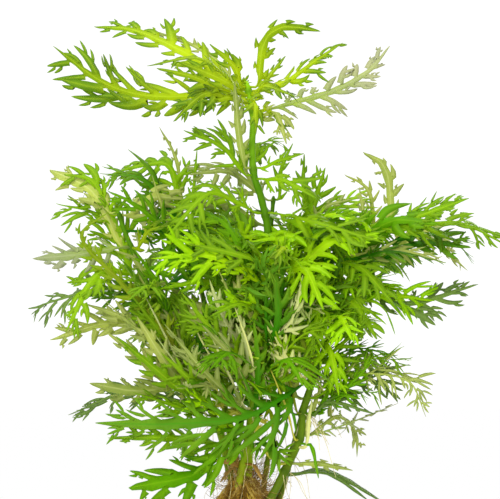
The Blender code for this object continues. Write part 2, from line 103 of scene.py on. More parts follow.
def mesh_piece(name, points, quads, triangles, traits, paint, flat_from=None):
    """A mesh object from arrays, in millimetres, with one number per point for each trait.

    Its quads from flat_from on are shaded flat.
    """
    mesh = bpy.data.meshes.new(name)
    corners = (np.asarray(points, float) * MM).astype(np.float32)
    mesh.from_pydata(corners, [], [*quads.tolist(), *triangles.tolist()])
    smooth = np.ones(len(mesh.polygons), bool)
    if flat_from is not None:
        smooth[flat_from:len(quads)] = False
    mesh.polygons.foreach_set("use_smooth", smooth)
    for key, values in traits.items():
        mesh.attributes.new(key, "FLOAT", "POINT").data.foreach_set("value", np.asarray(values, np.float32))
    mesh.validate()
    mesh.materials.append(paint)
    made = bpy.data.objects.new(name, mesh)
    bpy.context.scene.collection.objects.link(made)
    return made


def tubes(lines, radii, sides):
    """Round tubes carried along many paths at once: point = path + r (u cos a + v sin a).

    lines is (tube, step, 3) and radii is (tube, step). u and v stay square to the path and turn with it
    as little as they can. The ends are closed by one flat face each.
    """
    count, steps = radii.shape
    slopes = unit(np.gradient(lines, axis=1))
    first = np.cross(slopes[:, 0], [0.3, 0.9, 0.2])
    sideways = np.empty_like(lines)
    sideways[:, 0] = unit(first)
    for step in range(1, steps):
        kept = sideways[:, step - 1]
        kept = kept - slopes[:, step] * np.sum(kept * slopes[:, step], axis=1, keepdims=True)
        sideways[:, step] = unit(kept)
    other = np.cross(slopes, sideways)
    turn = np.linspace(0, 2 * np.pi, sides, endpoint=False)[:, None]
    ring = sideways[:, :, None] * np.cos(turn) + other[:, :, None] * np.sin(turn)
    points = lines[:, :, None] + ring * radii[:, :, None, None]
    index = np.arange(count * steps * sides).reshape(count, steps, sides)
    ahead = np.roll(index, -1, axis=2)
    middle = count * steps * sides + np.arange(2 * count).reshape(count, 2, 1)
    caps = np.concatenate([
        np.stack([ahead[:, 0], index[:, 0], np.broadcast_to(middle[:, 0], (count, sides))], axis=-1),
        np.stack([index[:, -1], ahead[:, -1], np.broadcast_to(middle[:, 1], (count, sides))], axis=-1)])
    points = np.vstack([points.reshape(-1, 3), lines[:, [0, -1]].reshape(-1, 3)])
    return points, ring_quads(index), caps.reshape(-1, 3)


def per_point(values, sides):
    """One value per station of each tube spread to the tube's points, its end points last."""
    return np.concatenate([np.repeat(values.ravel(), sides), values[:, [0, -1]].ravel()])


def root_piece(name, points, quads, triangles, tone, paint):
    """A piece of the root mass; tone is each point's lightness, from 0 to 1."""
    piece = mesh_piece(name, points, quads, triangles, {"tone": tone}, paint)
    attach(piece, "root")
    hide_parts("root_mass")


def root_tubes(name, paths, radii, sides, tones, paint):
    """One piece with a tube along each path; each has its own tone."""
    piece_tone = per_point(np.repeat(tones, radii.shape[1], axis=1), sides)
    root_piece(name, *tubes(paths, radii, sides), piece_tone, paint)


def new_paint(name):
    """A new material, with its node tree and its shader."""
    paint = bpy.data.materials.new(name)
    paint.use_nodes = True
    return paint, paint.node_tree, paint.node_tree.nodes["Principled BSDF"]


def feed(tree, socket, value):
    """Gives a socket its value: another node's output, a colour or a number."""
    if isinstance(value, bpy.types.NodeSocket):
        tree.links.new(value, socket)
    else:
        socket.default_value = (*value, 1) if isinstance(value, tuple) else value


def noise(tree, scale, detail, stretch=None):
    """Noise on Object coordinates: scale is in features per metre, and stretch scales each axis."""
    place = tree.nodes.new("ShaderNodeTexCoord").outputs["Object"]
    if stretch:
        mapping = tree.nodes.new("ShaderNodeMapping")
        mapping.inputs["Scale"].default_value = stretch
        tree.links.new(place, mapping.inputs["Vector"])
        place = mapping.outputs["Vector"]
    grain = tree.nodes.new("ShaderNodeTexNoise")
    feed(tree, grain.inputs["Vector"], place)
    feed(tree, grain.inputs["Scale"], scale)
    feed(tree, grain.inputs["Detail"], detail)
    return grain.outputs["Fac"]


def trait(tree, name):
    """The number of that name that the mesh has at each point."""
    found = tree.nodes.new("ShaderNodeAttribute")
    found.attribute_name = name
    return found.outputs["Fac"]


def math_node(tree, operation, first, second):
    """The result of one sum on two numbers, each another node's output or a plain one."""
    step = tree.nodes.new("ShaderNodeMath")
    step.operation = operation
    feed(tree, step.inputs[0], first)
    feed(tree, step.inputs[1], second)
    return step.outputs[0]


def added(tree, first, second):
    """first + second."""
    return math_node(tree, "ADD", first, second)


def times(tree, value, factor):
    """value x factor."""
    return math_node(tree, "MULTIPLY", value, factor)


def blend_colours(tree, share, first, second, kind="MIX"):
    """first + share x (second - first), or with MULTIPLY, first + share x (first x second - first)."""
    mixed = tree.nodes.new("ShaderNodeMix")
    mixed.data_type = "RGBA"
    mixed.blend_type = kind
    for number, value in ((0, share), (6, first), (7, second)):
        feed(tree, mixed.inputs[number], value)
    return mixed.outputs[2]


def ramp(tree, value, *stops):
    """A colour ramp: stops are (place, colour)."""
    made = tree.nodes.new("ShaderNodeValToRGB")
    tree.links.new(value, made.inputs["Fac"])
    while len(made.color_ramp.elements) < len(stops):
        made.color_ramp.elements.new(0.5)
    for element, (place, colour) in zip(made.color_ramp.elements, stops):
        element.position = place
        element.color = (*colour, 1)
    return made.outputs["Color"]


def finish_skin(tree, shader, colour, roughness, gloss, height, strength, distance):
    """Sets a shader's colour, roughness and gloss, and a bump from a height, its distance in metres."""
    bump = tree.nodes.new("ShaderNodeBump")
    feed(tree, bump.inputs["Strength"], strength)
    feed(tree, bump.inputs["Distance"], distance)
    feed(tree, bump.inputs["Height"], height)
    feed(tree, shader.inputs["Normal"], bump.outputs["Normal"])
    feed(tree, shader.inputs["Base Color"], colour)
    feed(tree, shader.inputs["Roughness"], roughness)
    feed(tree, shader.inputs["Specular IOR Level"], gloss)


def root_paint(name, dark, middle, bright):
    """Woody root: colour from dark to bright by noise and by each root's own tone, with a fibrous bump."""
    paint, tree, shader = new_paint(name)
    fine = noise(tree, 900, 4, (1, 1, 0.35))
    tone = added(tree, times(tree, noise(tree, 130, 2), 0.55), times(tree, fine, 0.45))
    tone = math_node(tree, "SUBTRACT", added(tree, tone, times(tree, trait(tree, "tone"), 0.4)), 0.2)
    colour = ramp(tree, tone, (0.25, dark), (0.5, middle), (0.8, bright))
    finish_skin(tree, shader, colour, 0.7, 0.15, fine, 0.6, 0.0006)
    return paint


def root_lines(count, steps, lowest_top, bulge, drift, wander):
    """Root paths: each leaves the core at height z0 and comes down it, z = z0 + (z1 - z0) t^power.

    Its distance from the middle is the lumpy core's radius + lift + bulge sin(pi t)^2, a little less near the
    ground. Its angle is a0 + drift t + wander (2 sin(9 t + phase) + sin(23 t + 2 phase)), t from 0 to 1.
    """
    t = np.linspace(0, 1, steps)[None]
    top = chance.uniform(lowest_top, CROWN_TOP, (count, 1))
    # Seven in ten reach the ground, and the others end up to 14 mm above it.
    foot = np.where(chance.random((count, 1)) < 0.7, 0.6, chance.uniform(1, 14, (count, 1)))
    height = top + (foot - top) * t ** chance.uniform(0.8, 1.5, (count, 1))
    radius, middle = core_at(height)
    lift = chance.uniform(0.0, 1.0, (count, 1))
    lift = lift + bulge * chance.random((count, 1)) ** 2 * np.sin(np.pi * t) ** 2
    # They lie closer near the ground, and dip into the core at their ends.
    lift = lift * np.where(height < 6, 0.6, 1) - np.where(t > 0.93, 0.4, 0)
    start, phase = chance.uniform(0, 2 * np.pi, (2, count, 1))
    angle = start + drift * chance.uniform(-1, 1, (count, 1)) * t
    angle = angle + wander * (2 * np.sin(9 * t + phase) + np.sin(23 * t + 2 * phase))
    reach = with_lumps(radius, angle, height) + lift
    reach = reach + np.clip(height - NECK, 0, None) * chance.uniform(-0.3, 0.7, (count, 1))
    return np.stack([middle + reach * np.cos(angle), reach * np.sin(angle), height], axis=-1)


core_shape = core_skin()
root_piece("root_core", *core_shape, np.full(len(core_shape[0]), 0.3),
           root_paint("root_matted", (0.02, 0.010, 0.002), (0.09, 0.04, 0.004), (0.24, 0.12, 0.012)))
root_tubes("root_fibres", root_lines(FIBRES, FIBRE_STEPS, 20, 2.6, 0.9, 0.07),
           chance.uniform(0.12, 0.32, (FIBRES, 1)) * np.linspace(1.15, 0.6, FIBRE_STEPS)[None],
           FIBRE_SIDES, chance.random((FIBRES, 1)),
           root_paint("root_fibre", (0.06, 0.034, 0.002), (0.30, 0.18, 0.008), (0.62, 0.50, 0.10)))
thick_paths = root_lines(THICK_ROOTS, THICK_STEPS, 28, 4.5, 0.7, 0.05)
thick_radii = chance.uniform(0.35, 0.85, (THICK_ROOTS, 1)) * np.linspace(1.2, 0.45, THICK_STEPS)[None]
thick_radii *= 1 + 0.12 * np.sin(np.arange(THICK_STEPS) * 1.9 + chance.uniform(0, 6.28, (THICK_ROOTS, 1)))
root_tubes("thick_roots", thick_paths, thick_radii, THICK_SIDES, chance.random((THICK_ROOTS, 1)),
           root_paint("root_thick", (0.07, 0.035, 0.003), (0.26, 0.14, 0.01), (0.56, 0.42, 0.09)))


# ROOT HAIRS
# Hair-thin brown roots that stand off the crown and the whole mass in loops, most of them on its right.
# Each is one soft, woody thread that grows out of the core.

HAIRS, HAIR_STEPS, HAIR_SIDES = 620, 18, 4
# Half of them grow on the crown, above this height, and those below it are shorter.
CROWN_FOOT = 35


def hair_lines(count):
    """Hair paths: p(t) = p0 + t reach (cos a, sin a, rise) + loops of 1 to 3 mm, t from 0 to 1.

    p0 is just under the core's skin. The loops are t (sin(w t + p), cos(w t + q), sin(1.3 w t + q)).
    """
    t = np.linspace(0, 1, HAIR_STEPS)[None, :, None]
    height = np.where(chance.random((count, 1, 1)) < 0.5, chance.uniform(CROWN_FOOT, 50, (count, 1, 1)),
                      chance.uniform(4, CROWN_FOOT, (count, 1, 1)))
    around = chance.normal(0.2, 1.5, (count, 1, 1))
    radius, middle = core_at(height)
    level = np.concatenate([np.cos(around), np.sin(around), 0 * around], axis=-1)
    start = np.concatenate([middle, 0 * middle, height], axis=-1) + 0.9 * radius * level
    reach = chance.uniform(4, 17, (count, 1, 1)) * np.where(height < CROWN_FOOT, 0.45, 1)
    rise = chance.uniform(-0.7, 0.8, (count, 1, 1)) - np.where(height < CROWN_FOOT, 0.3, 0)
    w, p, q = (chance.uniform(low, high, (count, 1, 1)) for low, high in ((4, 9), (0, 6.28), (0, 6.28)))
    loops = np.concatenate([np.sin(w * t + p), np.cos(w * t + q), np.sin(1.3 * w * t + q)], axis=-1)
    return start + t * (reach * (level + (0, 0, 1) * rise) + chance.uniform(1, 3, (count, 1, 1)) * loops)


root_tubes("root_hairs", hair_lines(HAIRS),
           chance.uniform(0.07, 0.14, (HAIRS, 1)) * np.linspace(1.2, 0.7, HAIR_STEPS)[None],
           HAIR_SIDES, chance.random((HAIRS, 1)),
           root_paint("root_hair", (0.06, 0.025, 0.004), (0.20, 0.10, 0.016), (0.52, 0.40, 0.13)))


# STEMS
# Eight soft green stems, 3 to 5 mm thick at the foot, that grow up out of the crown and thin towards
# their tips. Each swells into a darker ring where its leaves grow, and its foot is rooted in the core.

# A stem: how thick it is at its foot and at its tip, and the points that its middle passes.
STEMS = {
    "tall": (5.0, 3.4, ((-1, 0, 46.6), (0, 1, 68), (6, 4, 118), (9, 3, 163), (6, 1, 183), (2, -1, 196),
                        (1, -2, 210), (1.5, -2, 226), (-2, -2, 243))),
    "front": (4.4, 2.6, ((-4.5, -5.6, 47), (-1, -8, 63.5), (1, -11, 78.5), (5, -14, 98.5), (9, -16, 118),
                         (12, -17, 138.5), (15, -17, 152))),
    "right": (4.6, 2.8, ((9, -8, 32), (17.5, -6, 48.5), (25, -5, 65), (26.5, -4, 78.5), (31, -2, 93.5),
                         (32.5, 0, 113.5), (40, 2, 138.5), (47, 4, 158), (51, 4, 171))),
    "right_back": (4.0, 2.4, ((14, 2, 32), (22, 10, 60), (31, 20, 90), (47, 30, 133), (62, 34, 156),
                              (67, 34, 166))),
    "thin": (3.2, 2.2, ((6.5, 9, 32), (8, 8, 48), (14, 9, 78), (17, 14, 103), (21, 20, 133), (24, 22, 163),
                        (25, 22, 176))),
    "left": (4.4, 2.4, ((-10, 2, 47), (-16, 4, 70), (-30, 6, 98.5), (-50, 6, 138.5), (-62, 4, 166),
                        (-66, 2, 178))),
    "left_back": (4.0, 2.2, ((-5.5, 6, 47), (-12, 12, 75), (-17, 18, 108), (-27, 24, 148), (-31, 24, 174))),
    "back": (4.0, 2.2, ((-5, 14.5, 32), (0, 20, 60), (2, 28, 90), (8, 38, 140), (12, 40, 186))),
}
# The heights of the swollen rings on each stem.
NODES = {
    "tall": (66, 92, 120, 150, 176, 199, 228, 238),
    "front": (62, 80, 99, 114, 126, 141, 150),
    "right": (48, 64, 77, 93, 113, 135, 154, 166),
    "right_back": (56, 84, 104, 128, 150, 162),
    "thin": (60, 84, 108, 130, 158, 172),
    "left": (54, 72, 92, 118, 139, 160, 176),
    "left_back": (62, 86, 112, 148, 171),
    "back": (60, 94, 112, 130, 158, 184),
}
# The share of dull brownish green in a stem's skin.
DULL_STEMS = {"right": 0.85, "right_back": 0.8, "thin": 0.6, "left_back": 0.6, "back": 0.6, "front": 0.15,
              "left": 0.5}
STEM_SIDES = 14
STEM_STATIONS = 150
# A stem goes on down into the roots for this far, in so many stations, and its tip is rounded.
STEM_FOOT, FOOT_STATIONS = 9, 6
TIP_ROUNDING = (0.93, 0.75, 0.4)
# A stem between its rings, as a share of its thickness, and how much and how far a ring swells.
STEM_WAIST, RING_SWELL, RING_HALF = 0.92, 0.24, 1.7
MIDRIB_STEPS = 48


def smooth_path(points, steps):
    """A curve of cubics through the points, whose slope at each point is that between its neighbours."""
    points = np.array(points, float)
    ends = np.vstack([2 * points[0] - points[1], points, 2 * points[-1] - points[-2]])
    along = np.linspace(0, len(points) - 1, steps + 1)
    piece = np.minimum(along.astype(int), len(points) - 2)
    t = (along - piece)[:, None]
    before, start, end, after = (ends[piece + k] for k in range(4))
    bend = 2 * before - 5 * start + 4 * end - after
    turn = 3 * start - before - 3 * end + after
    return start + 0.5 * t * ((end - before) + t * (bend + t * turn))


def on_line(places, marks, line):
    """The points at some places along a line whose own points stand at the marks, straight between them."""
    return np.column_stack([np.interp(places, marks, line[:, k]) for k in range(3)])


def even_path(points, steps):
    """The same curve with evenly spaced points, and its length."""
    fine = smooth_path(points, 8 * steps)
    walked = np.concatenate([[0], np.cumsum(np.linalg.norm(np.diff(fine, axis=0), axis=1))])
    marks = np.linspace(0, walked[-1], steps + 1)
    return on_line(marks, walked, fine), walked[-1]


def stem_paint():
    """Stem skin: olive and brownish at the foot, deep green above, darker rings, fine streaks along it."""
    paint, tree, shader = new_paint("stem_skin")
    streak = noise(tree, 700, 3, (1, 1, 0.12))
    place = added(tree, trait(tree, "along"), times(tree, noise(tree, 60, 2), 0.25))
    body = ramp(tree, math_node(tree, "SUBTRACT", place, 0.12),
                (0.0, (0.26, 0.27, 0.008)), (0.14, (0.22, 0.34, 0.005)), (0.4, (0.05, 0.16, 0.0005)),
                (0.85, (0.035, 0.14, 0.0005)), (1.0, (0.20, 0.42, 0.004)))
    body = blend_colours(tree, times(tree, streak, 0.2), body, (0.34, 0.56, 0.02))
    body = blend_colours(tree, times(tree, trait(tree, "ring"), 0.62), body, (0.05, 0.12, 0.004))
    body = blend_colours(tree, trait(tree, "dull"), body, (0.035, 0.08, 0.005))
    finish_skin(tree, shader, body, 0.45, 0.05, streak, 0.35, 0.0004)
    return paint


def stem_tube(stem):
    """The stem's tube and traits: radius = r (0.92 + 0.24 exp(-((z - ring) / 1.7)^2) + 0.02 sin(0.9 z)).

    r goes evenly from the foot's to the tip's, and ring is the height of the nearest ring.
    """
    foot, tip, points = STEMS[stem]
    line, length = even_path(points, STEM_STATIONS)
    down = (line[0] - line[1]) * (STEM_FOOT * STEM_STATIONS / length / FOOT_STATIONS)
    line = np.vstack([line[0] + down * np.arange(FOOT_STATIONS, 0, -1)[:, None], line])
    share = np.clip((np.arange(len(line)) - FOOT_STATIONS) / STEM_STATIONS, 0, 1)
    rings = np.exp(-((line[:, 2:] - np.array(NODES[stem])) / RING_HALF) ** 2).max(axis=1)
    radius = 0.5 * (foot + (tip - foot) * share)
    radius = radius * (STEM_WAIST + RING_SWELL * rings + 0.02 * np.sin(0.9 * line[:, 2]))
    radius[-3:] *= TIP_ROUNDING
    height_share = (line[:, 2] - 30) / 200
    dull = DULL_STEMS.get(stem, 0) * (1 - 0.9 * np.clip(1.6 * height_share, 0, 1))
    traits = {"along": height_share, "ring": rings, "dull": dull}
    traits = {key: per_point(values[None], STEM_SIDES) for key, values in traits.items()}
    return *tubes(line[None], radius[None], STEM_SIDES), traits


stem_green = stem_paint()
for stem in STEMS:
    living_stem = mesh_piece("living_stem_" + stem, *stem_tube(stem), stem_green)
    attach(living_stem, "root")
    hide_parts("stem_" + stem)


# LARGE LEAVES
# Each leaf is a thin sheet of living tissue, cut almost to its midrib into pairs of forward-slanting
# lobes that are cut again into fingers. A pale midrib thickens into the stalk that holds it on the stem.

# A leaf: its stem and number, the height where it leaves the stem, the points its midrib passes after that,
# the reach of its longest lobe, how far its face leans from the sky towards the viewer, in degrees, its kind
# and how broad its lobes are: 1 is finely cut, and 2 broad with mere teeth.
LEAVES = (
    ("tall", 1, 238.5, ((-42, -14, 234.5), (-70, -26, 240), (-97, -36, 259)), 18, 65, "young", 1.15),
    ("tall", 2, 241, ((-34, 6, 258), (-58, 18, 269), (-79, 30, 271.5)), 12, 50, "young", 1.5),
    ("tall", 4, 240, ((7, -6, 262), (17, -11, 269.5), (35, -18, 267)), 7, 75, "young", 2.0),
    ("tall", 5, 237, ((20, -13, 243.5), (32, -20, 252), (46, -28, 261)), 10, 50, "young", 1.2),
    ("tall", 6, 228, ((20, 6, 232), (43, 18, 239), (60, 26, 249), (71, 32, 262)), 12, 55, "silver", 1.2),
    ("tall", 8, 232, ((-22, -22, 236), (-38, -28, 222)), 12, 60, "young", 1.4),
    ("tall", 9, 199.5, ((-8, -10, 218), (-12.5, -12, 243)), 7, 90, "pale", 1.6),
    ("tall", 10, 196, ((-14, -12, 210), (-33, -18, 218)), 12, 55, "mature", 1.0),
    ("tall", 11, 194, ((17, -14, 193), (33, -20, 184)), 12, 60, "mature", 1.1),
    ("tall", 12, 177, ((30, -14, 173), (67, -22, 162)), 13, 42, "mature", 1.0),
    ("tall", 13, 177, ((-10, -10, 184), (-22, -16, 186), (-42, -24, 164)), 13, 65, "mature", 1.0),
    ("tall", 14, 201, ((4, 20, 212), (10, 48, 212)), 13, 20, "mature", 1.0),
    ("tall", 15, 228, ((-6, 18, 240), (-14, 44, 245)), 13, 20, "young", 1.0),
    ("front", 1, 151, ((-5, -28, 156), (-31, -34, 162)), 14, 50, "mature", 1.1),
    ("front", 2, 140, ((-20, -34, 152), (-50, -38, 148)), 13, 60, "lime", 1.0),
    ("front", 3, 112, ((14, -30, 126), (12, -34, 152)), 11, 90, "deep", 1.3),
    ("front", 4, 144, ((27, -32, 149), (36, -44, 129)), 14, 60, "lime", 1.2),
    ("front", 5, 78, ((-10, -28, 64), (-28, -36, 48)), 15, 75, "olive", 1.2),
    ("front", 6, 98, ((18, -40, 104), (26, -64, 92)), 13, 45, "olive", 1.0),
    ("front", 7, 100, ((-10, -42, 108), (-20, -66, 100)), 13, 45, "olive", 1.0),
    ("right", 1, 170.3, ((76, -14, 173), (108, -36, 184)), 13, 45, "mature", 1.2),
    ("right", 2, 166, ((75, 8, 168.5), (105, 16, 172), (131, 20, 160)), 14, 45, "mature", 1.0),
    ("right", 3, 152, ((56, -16, 149), (71, -24, 132)), 11, 55, "mature", 1.4),
    ("right", 5, 134, ((52, -10, 131), (63, -16, 114)), 10, 60, "mature", 1.4),
    ("right", 6, 94, ((60, -10, 97), (79, -20, 93), (87, -28, 76)), 9, 48, "pale", 0.5),
    ("right", 7, 93, ((17, -28, 86), (-4, -40, 76), (-40, -44, 73), (-76, -42, 73.5)), 23, 75, "deep", 0.65),
    ("right", 8, 66, ((44, 8, 75), (53, 18, 67), (54, 24, 54)), 8, 60, "pale", 1.0),
    ("right", 9, 118, ((44, -26, 126), (50, -52, 114)), 13, 30, "lime", 1.2),
    ("right_back", 1, 165, ((71, 30, 186), (67.5, 27, 201), (57, 24, 208)), 7, 90, "pale", 1.7),
    ("right_back", 2, 140, ((82, 26, 134), (114, 44, 147)), 12, 42, "shade", 1.2),
    ("right_back", 3, 156, ((88, 40, 166), (111, 52, 148)), 10, 55, "pale", 1.2),
    ("right_back", 4, 104, ((58, 28, 102), (75, 30, 81)), 9, 60, "shade", 0.7),
    ("right_back", 5, 150, ((66, 58, 158), (74, 84, 147)), 14, 20, "mature", 1.0),
    ("right_back", 6, 116, ((50, 52, 126), (58, 80, 112)), 14, 20, "mature", 1.0),
    ("left", 1, 177, ((-82, 8, 190), (-101, 22, 199)), 11, 65, "pale", 1.7),
    ("left", 2, 160, ((-86, -16, 156), (-109, -34, 154)), 13, 50, "silver", 1.4),
    ("left", 3, 139, ((-80, 14, 138), (-111, 28, 129)), 12, 45, "shade", 0.8),
    ("left", 4, 146, ((-76, -20, 146), (-91, -36, 118)), 11, 70, "mature", 1.3),
    ("left", 5, 118, ((-70, -12, 122), (-99, -28, 114)), 12, 72, "pale", 1.4),
    ("left", 6, 92, ((-55, -16, 90), (-79, -34, 96)), 11, 65, "pale", 1.7),
    ("left", 7, 80, ((-60, 16, 87), (-92, 30, 75)), 12, 45, "shade", 1.0),
    ("left", 8, 98, ((-42, -12, 118), (-66, -18, 145), (-84, -22, 166), (-70, -20, 179)), 7, 85, "dusk", 1.2),
    ("left", 9, 54, ((-30, -16, 46), (-60, -30, 41)), 17, 75, "olive", 1.6),
    ("left_back", 1, 172, ((-40, 22, 200), (-56, 28, 201), (-73, 36, 196)), 12, 65, "mature", 1.1),
    ("left_back", 2, 150, ((-42, 0, 168), (-57, -14, 181), (-71, -18, 188)), 11, 60, "olive", 1.1),
    ("left_back", 3, 146, ((-44, 50, 158), (-52, 78, 148)), 14, 20, "mature", 1.0),
    ("left_back", 4, 112, ((-40, 42, 124), (-62, 64, 110)), 14, 20, "mature", 1.0),
    ("back", 1, 158, ((24, 62, 168), (34, 88, 156)), 14, 20, "mature", 1.0),
    ("back", 2, 160, ((-10, 60, 172), (-20, 84, 160)), 14, 20, "mature", 1.0),
    ("back", 3, 110, ((14, 60, 120), (18, 88, 104)), 14, 20, "mature", 1.0),
    ("back", 4, 94, ((-18, 50, 100), (-36, 76, 86)), 14, 20, "olive", 1.0),
)

# The leaves whose end is broader than the rest, and how many times.
BROAD_ENDS = {"right_7": 2.4, "left_1": 1.5, "left_2": 1.6, "left_9": 1.4, "left_6": 1.3, "right_1": 1.3,
              "right_back_1": 1.3}

# A kind of leaf: the colours of its face, tip, veins and back, and the share of light that it lets through.
LEAF_KINDS = {
    "young": ((0.42, 0.56, 0.003), (0.11, 0.24, 0.006), (0.52, 0.66, 0.03), (0.32, 0.46, 0.05), 0.44),
    "lime": ((0.44, 0.72, 0.001), (0.30, 0.58, 0.001), (0.56, 0.78, 0.02), (0.42, 0.64, 0.02), 0.5),
    # bright: the mature leaf's colours made lighter, as painted light for the inner leaves that stand in the
    # plant's shade.
    "bright": ((0.42, 0.72, 0.001), (0.28, 0.56, 0.002), (0.54, 0.76, 0.02), (0.46, 0.64, 0.04), 0.5),
    "mature": ((0.28, 0.52, 0.002), (0.18, 0.36, 0.008), (0.42, 0.60, 0.02), (0.32, 0.46, 0.06), 0.5),
    "deep": ((0.035, 0.21, 0.0005), (0.15, 0.30, 0.01), (0.05, 0.30, 0.001), (0.12, 0.30, 0.012), 0.44),
    "olive": ((0.13, 0.40, 0.001), (0.14, 0.33, 0.002), (0.25, 0.50, 0.008), (0.23, 0.42, 0.03), 0.5),
    "shade": ((0.17, 0.29, 0.045), (0.12, 0.21, 0.04), (0.25, 0.36, 0.09), (0.22, 0.31, 0.09), 0.38),
    "dusk": ((0.20, 0.27, 0.008), (0.18, 0.32, 0.005), (0.30, 0.35, 0.03), (0.24, 0.31, 0.04), 0.42),
    "silver": ((0.30, 0.42, 0.07), (0.30, 0.33, 0.18), (0.42, 0.46, 0.25), (0.33, 0.37, 0.20), 0.36),
    "pale": ((0.42, 0.51, 0.09), (0.29, 0.36, 0.08), (0.60, 0.64, 0.24), (0.46, 0.52, 0.17), 0.4),
    "cream": ((0.70, 0.72, 0.28), (0.50, 0.58, 0.18), (0.80, 0.82, 0.46), (0.66, 0.70, 0.34), 0.38),
    "old": ((0.60, 0.62, 0.05), (0.52, 0.50, 0.05), (0.74, 0.74, 0.2), (0.56, 0.55, 0.12), 0.38),
    "withered": ((0.26, 0.15, 0.02), (0.40, 0.27, 0.08), (0.18, 0.10, 0.015), (0.30, 0.20, 0.05), 0.3),
}

# The lobes stand between these two shares of a leaf's length, this far apart plus this share of their reach.
STALK_SHARE = 0.14
TIP_SHARE = 0.93
LOBE_GAP, LOBE_GAP_SHARE = 4.0, 0.32
# A leaf of less reach than this is a smooth strap without lobes.
SMOOTH_REACH = 4
# A lobe bears one finger on each edge from the first reach on, and two from the second.
FINGER_REACH, TWO_FINGERS_REACH = 7, 10
# A leaf starts this far off its stem's skin and goes straight out for the second length.
STEM_GAP, STALK_START = 0.6, 4
STALK_HALF = 0.6
# How far a leaf's surface falls off 1 mm beside its midrib; it grows with the distance's square.
CURL = 0.010
# A lobe leaves the midrib and a finger its lobe at the first angle, in radians, and turns by the second.
LOBE_TURN, LOBE_BEND = 0.9, -0.36
FINGER_TURN, FINGER_BEND = 0.58, -0.42
# A strap's half width along it, as a share of the largest, when it is long and when it is a short tooth.
STRAP_SHAPE = ((0, 0.12, 0.45, 0.75, 0.93, 1), (1.5, 1.05, 1.1, 0.8, 0.4, 0.06))
TOOTH_SHAPE = ((0, 0.12, 0.45, 0.75, 0.93, 1), (1.75, 1.35, 0.86, 0.46, 0.17, 0.03))
# The rows of points along a finger, and half a strap's thickness at its root and at its end.
FINGER_ROWS = np.array([0.2, 0.5, 0.8, 1.0])
STRAP_THICK = (0.24, 0.1)
# The rows along a lobe: those at its root, four for each finger within a span, and those at its end.
ROOT_ROWS, END_ROWS = [0.08, 0.18], [0.86, 0.94, 1.0]
FINGERS_START, FINGERS_SPAN, FINGER_STEPS = 0.28, 0.54, np.array([0, 0.055, 0.11, 0.165])
# The midrib's five points across: their places as shares of its half width, how far along the edges are
# shifted against each other, how much vein they are, and how thick.
ACROSS, EDGE_SHIFT = np.array([-1, -0.25, 0, 0.25, 1.0]), np.array([-1, -0.4, 0, 0.4, 1])
RIB_VEIN, RIB_THICK = [0, 0.45, 1, 0.45, 0], np.array([0.3, 0.6, 1, 0.6, 0.3])
# Half the midrib's thickness along the leaf, and half the blade's, which comes on top.
RIDGE, BLADE_HALF = ((0, 0.16, 0.7, 1), (0.55, 0.36, 0.18, 0.08)), 0.04
# The winged midrib's half width at its start, thickest place, last third and last lobe, as a share of the
# wing's, and at the leaf's tip in millimetres.
WING_SHARES, TIP_HALF = (0.8, 1.15, 0.9, 0.5), 0.06
# The lobes' length along a leaf, from its first pair to its last, as a share of the longest.
LOBE_PLACES, LOBE_LENGTHS = (0, 0.2, 0.45, 0.75, 1), (0.55, 0.88, 1.0, 0.84, 0.5)
# The most that a leaf turns round its midrib towards its tip, in radians, and how many times that the inner
# ones turn.
TWIST, LOOSE_TWIST = 0.4, 2.5


def stem_at(stem, height):
    """The middle of the stem at a height, and its radius there."""
    foot, tip, points = STEMS[stem]
    line, _ = even_path(points, MIDRIB_STEPS)
    share = np.interp(height, line[:, 2], np.linspace(0, 1, len(line)))
    middle = np.array([*(np.interp(height, line[:, 2], line[:, k]) for k in (0, 1)), height])
    return middle, 0.5 * (foot + (tip - foot) * share)


def midrib(stem, height, points, inside):
    """The midrib's points, from the stem's skin or from inside it, and a point inside the stem.

    A leaf leaves its stem level and straight, a little up or down as its first point lies, and then passes
    its own points to the tip.
    """
    middle, radius = stem_at(stem, height)
    away = np.array(points[0]) - middle
    level = unit(away * (1, 1, 0))
    edge = middle + level * (radius + STEM_GAP)
    rooted = middle + level * 0.3 * radius
    first = edge + STALK_START * unit(level + 0.6 * unit(away))
    return [rooted if inside else edge, first, *points], rooted


def turns():
    """The small turns that a leaf's tip may have been given, as shares of its length in depth and aside."""
    found = [(0.05 * a, 0.05 * b) for a in range(-10, 11) for b in range(-3, 4)]
    return sorted(found, key=lambda s: (round(s[0] ** 2 + 6 * s[1] ** 2, 6), s))


def turned(points, pivot, swing):
    """Points turned about the pivot by the least turn that moves the tip's direction by the swing.

    An arm r turned by the angle a round the axis k is r cos a + (k x r) sin a + k (k . r) (1 - cos a).
    """
    chord = unit(points[-1] - pivot)
    depth = np.array([0, 1.0, 0]) if abs(chord[1]) < 0.8 else np.array([1.0, 0, 0])
    deeper = unit(depth - chord * (depth @ chord))
    goal = unit(chord + swing[0] * deeper + swing[1] * np.cross(chord, deeper))
    axis = np.cross(chord, goal)
    sine, cosine = np.linalg.norm(axis), chord @ goal
    if sine < 1e-9:
        return np.array(points)
    axis = axis / sine
    arms = np.array(points) - pivot
    return pivot + arms * cosine + np.cross(axis, arms) * sine + np.outer(arms @ axis, axis) * (1 - cosine)


def corners_of(node):
    """The corners of a solid, in millimetres."""
    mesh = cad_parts[node].data
    corners = np.empty(3 * len(mesh.vertices), np.float32)
    mesh.vertices.foreach_get("co", corners)
    return corners.reshape(-1, 3) / MM


def as_packed(line, node):
    """The midrib turned as its solid is: the turn whose tip comes nearest to a corner of the solid."""
    corners = corners_of(node)
    tried = [turned(line, line[0], swing) for swing in turns()]
    misses = [np.linalg.norm(corners - one[-1], axis=1).min() for one in tried]
    return tried[int(np.argmin(misses))]


def lobe_reach(place):
    """A lobe's length as a share of the longest; its place goes from 0 at the first lobe to 1 at the last."""
    return np.interp(place, LOBE_PLACES, LOBE_LENGTHS)


